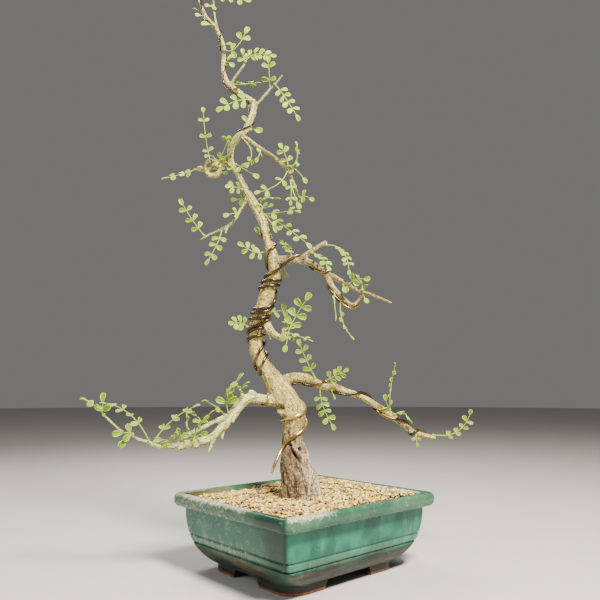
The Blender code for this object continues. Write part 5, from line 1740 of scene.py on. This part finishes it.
class BONSAI_OT_stage(bpy.types.Operator):
    """Sets the pale floor, the soft lights and the camera"""
    bl_idname = "bonsai.stage"
    bl_label = "Stage"

    def execute(self, context):
        look = context.scene.bonsai_stage
        bm = bmesh.new()
        bmesh.ops.create_circle(bm, cap_ends=True, segments=FLOOR_SIDES, radius=FLOOR_RADIUS)
        floor = linked("floor", mesh_of(bm, "floor"), floor_material(look.floor))
        floor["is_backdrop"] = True
        sky = bpy.data.worlds.new("studio")
        sky.use_nodes = True
        background = sky.node_tree.nodes["Background"]
        background.inputs["Color"].default_value = (*SKY_COLOUR, 1)
        background.inputs["Strength"].default_value = look.sky
        context.scene.world = sky
        lit = in_front_view(*LIT_PLACE)
        for name, place, size, colour in LIGHTS:
            add_light(name, in_front_view(*place), lit, size, getattr(look, name), colour)
        camera = bpy.data.cameras.new("camera")
        camera.lens = CAMERA_LENS
        camera.sensor_width = SENSOR_WIDTH
        eye = bpy.data.objects.new("camera", camera)
        context.scene.collection.objects.link(eye)
        eye.location = in_front_view(*CAMERA_PLACE)
        sight = front_direction(0, sin(CAMERA_PITCH), -cos(CAMERA_PITCH))
        eye.rotation_euler = sight.to_track_quat("-Z", "Y").to_euler()
        context.scene.camera = eye
        return {"FINISHED"}


# The add-on

LOOKS = {
    "bonsai_pot": PotLook,
    "bonsai_grit": GritLook,
    "bonsai_wood": WoodLook,
    "bonsai_wires": WireLook,
    "bonsai_leaves": LeafLook,
    "bonsai_stage": StageLook,
}
STEPS = [BONSAI_OT_pot, BONSAI_OT_grit, BONSAI_OT_wood, BONSAI_OT_wires, BONSAI_OT_leaves, BONSAI_OT_stage]


class BONSAI_PT_panel(bpy.types.Panel):
    """Lists the steps with the sizes and colours that each one reads"""
    bl_idname = "BONSAI_PT_panel"
    bl_label = "Bonsai"
    bl_space_type = "VIEW_3D"
    bl_region_type = "UI"
    bl_category = "Bonsai"

    def draw(self, context):
        for step, look in zip(STEPS, LOOKS):
            box = self.layout.box()
            box.operator(step.bl_idname)
            for name in LOOKS[look].__annotations__:
                box.prop(getattr(context.scene, look), name)


CLASSES = [*LOOKS.values(), *STEPS, BONSAI_PT_panel]


def register():
    for made in CLASSES:
        bpy.utils.register_class(made)
    for name, look in LOOKS.items():
        setattr(bpy.types.Scene, name, PointerProperty(type=look))


def unregister():
    for name in LOOKS:
        delattr(bpy.types.Scene, name)
    for made in reversed(CLASSES):
        bpy.utils.unregister_class(made)


def main():
    register()
    bpy.ops.bonsai.pot()
    bpy.ops.bonsai.grit()
    bpy.ops.bonsai.wood()
    bpy.ops.bonsai.wires()
    bpy.ops.bonsai.leaves()
    bpy.ops.bonsai.stage()
    boxes = {"cad": CAD_BOX, "visual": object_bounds()}
    {name: [list(corner) for corner in box] for name, box in boxes.items()}


if __name__ == "__main__":
    main()
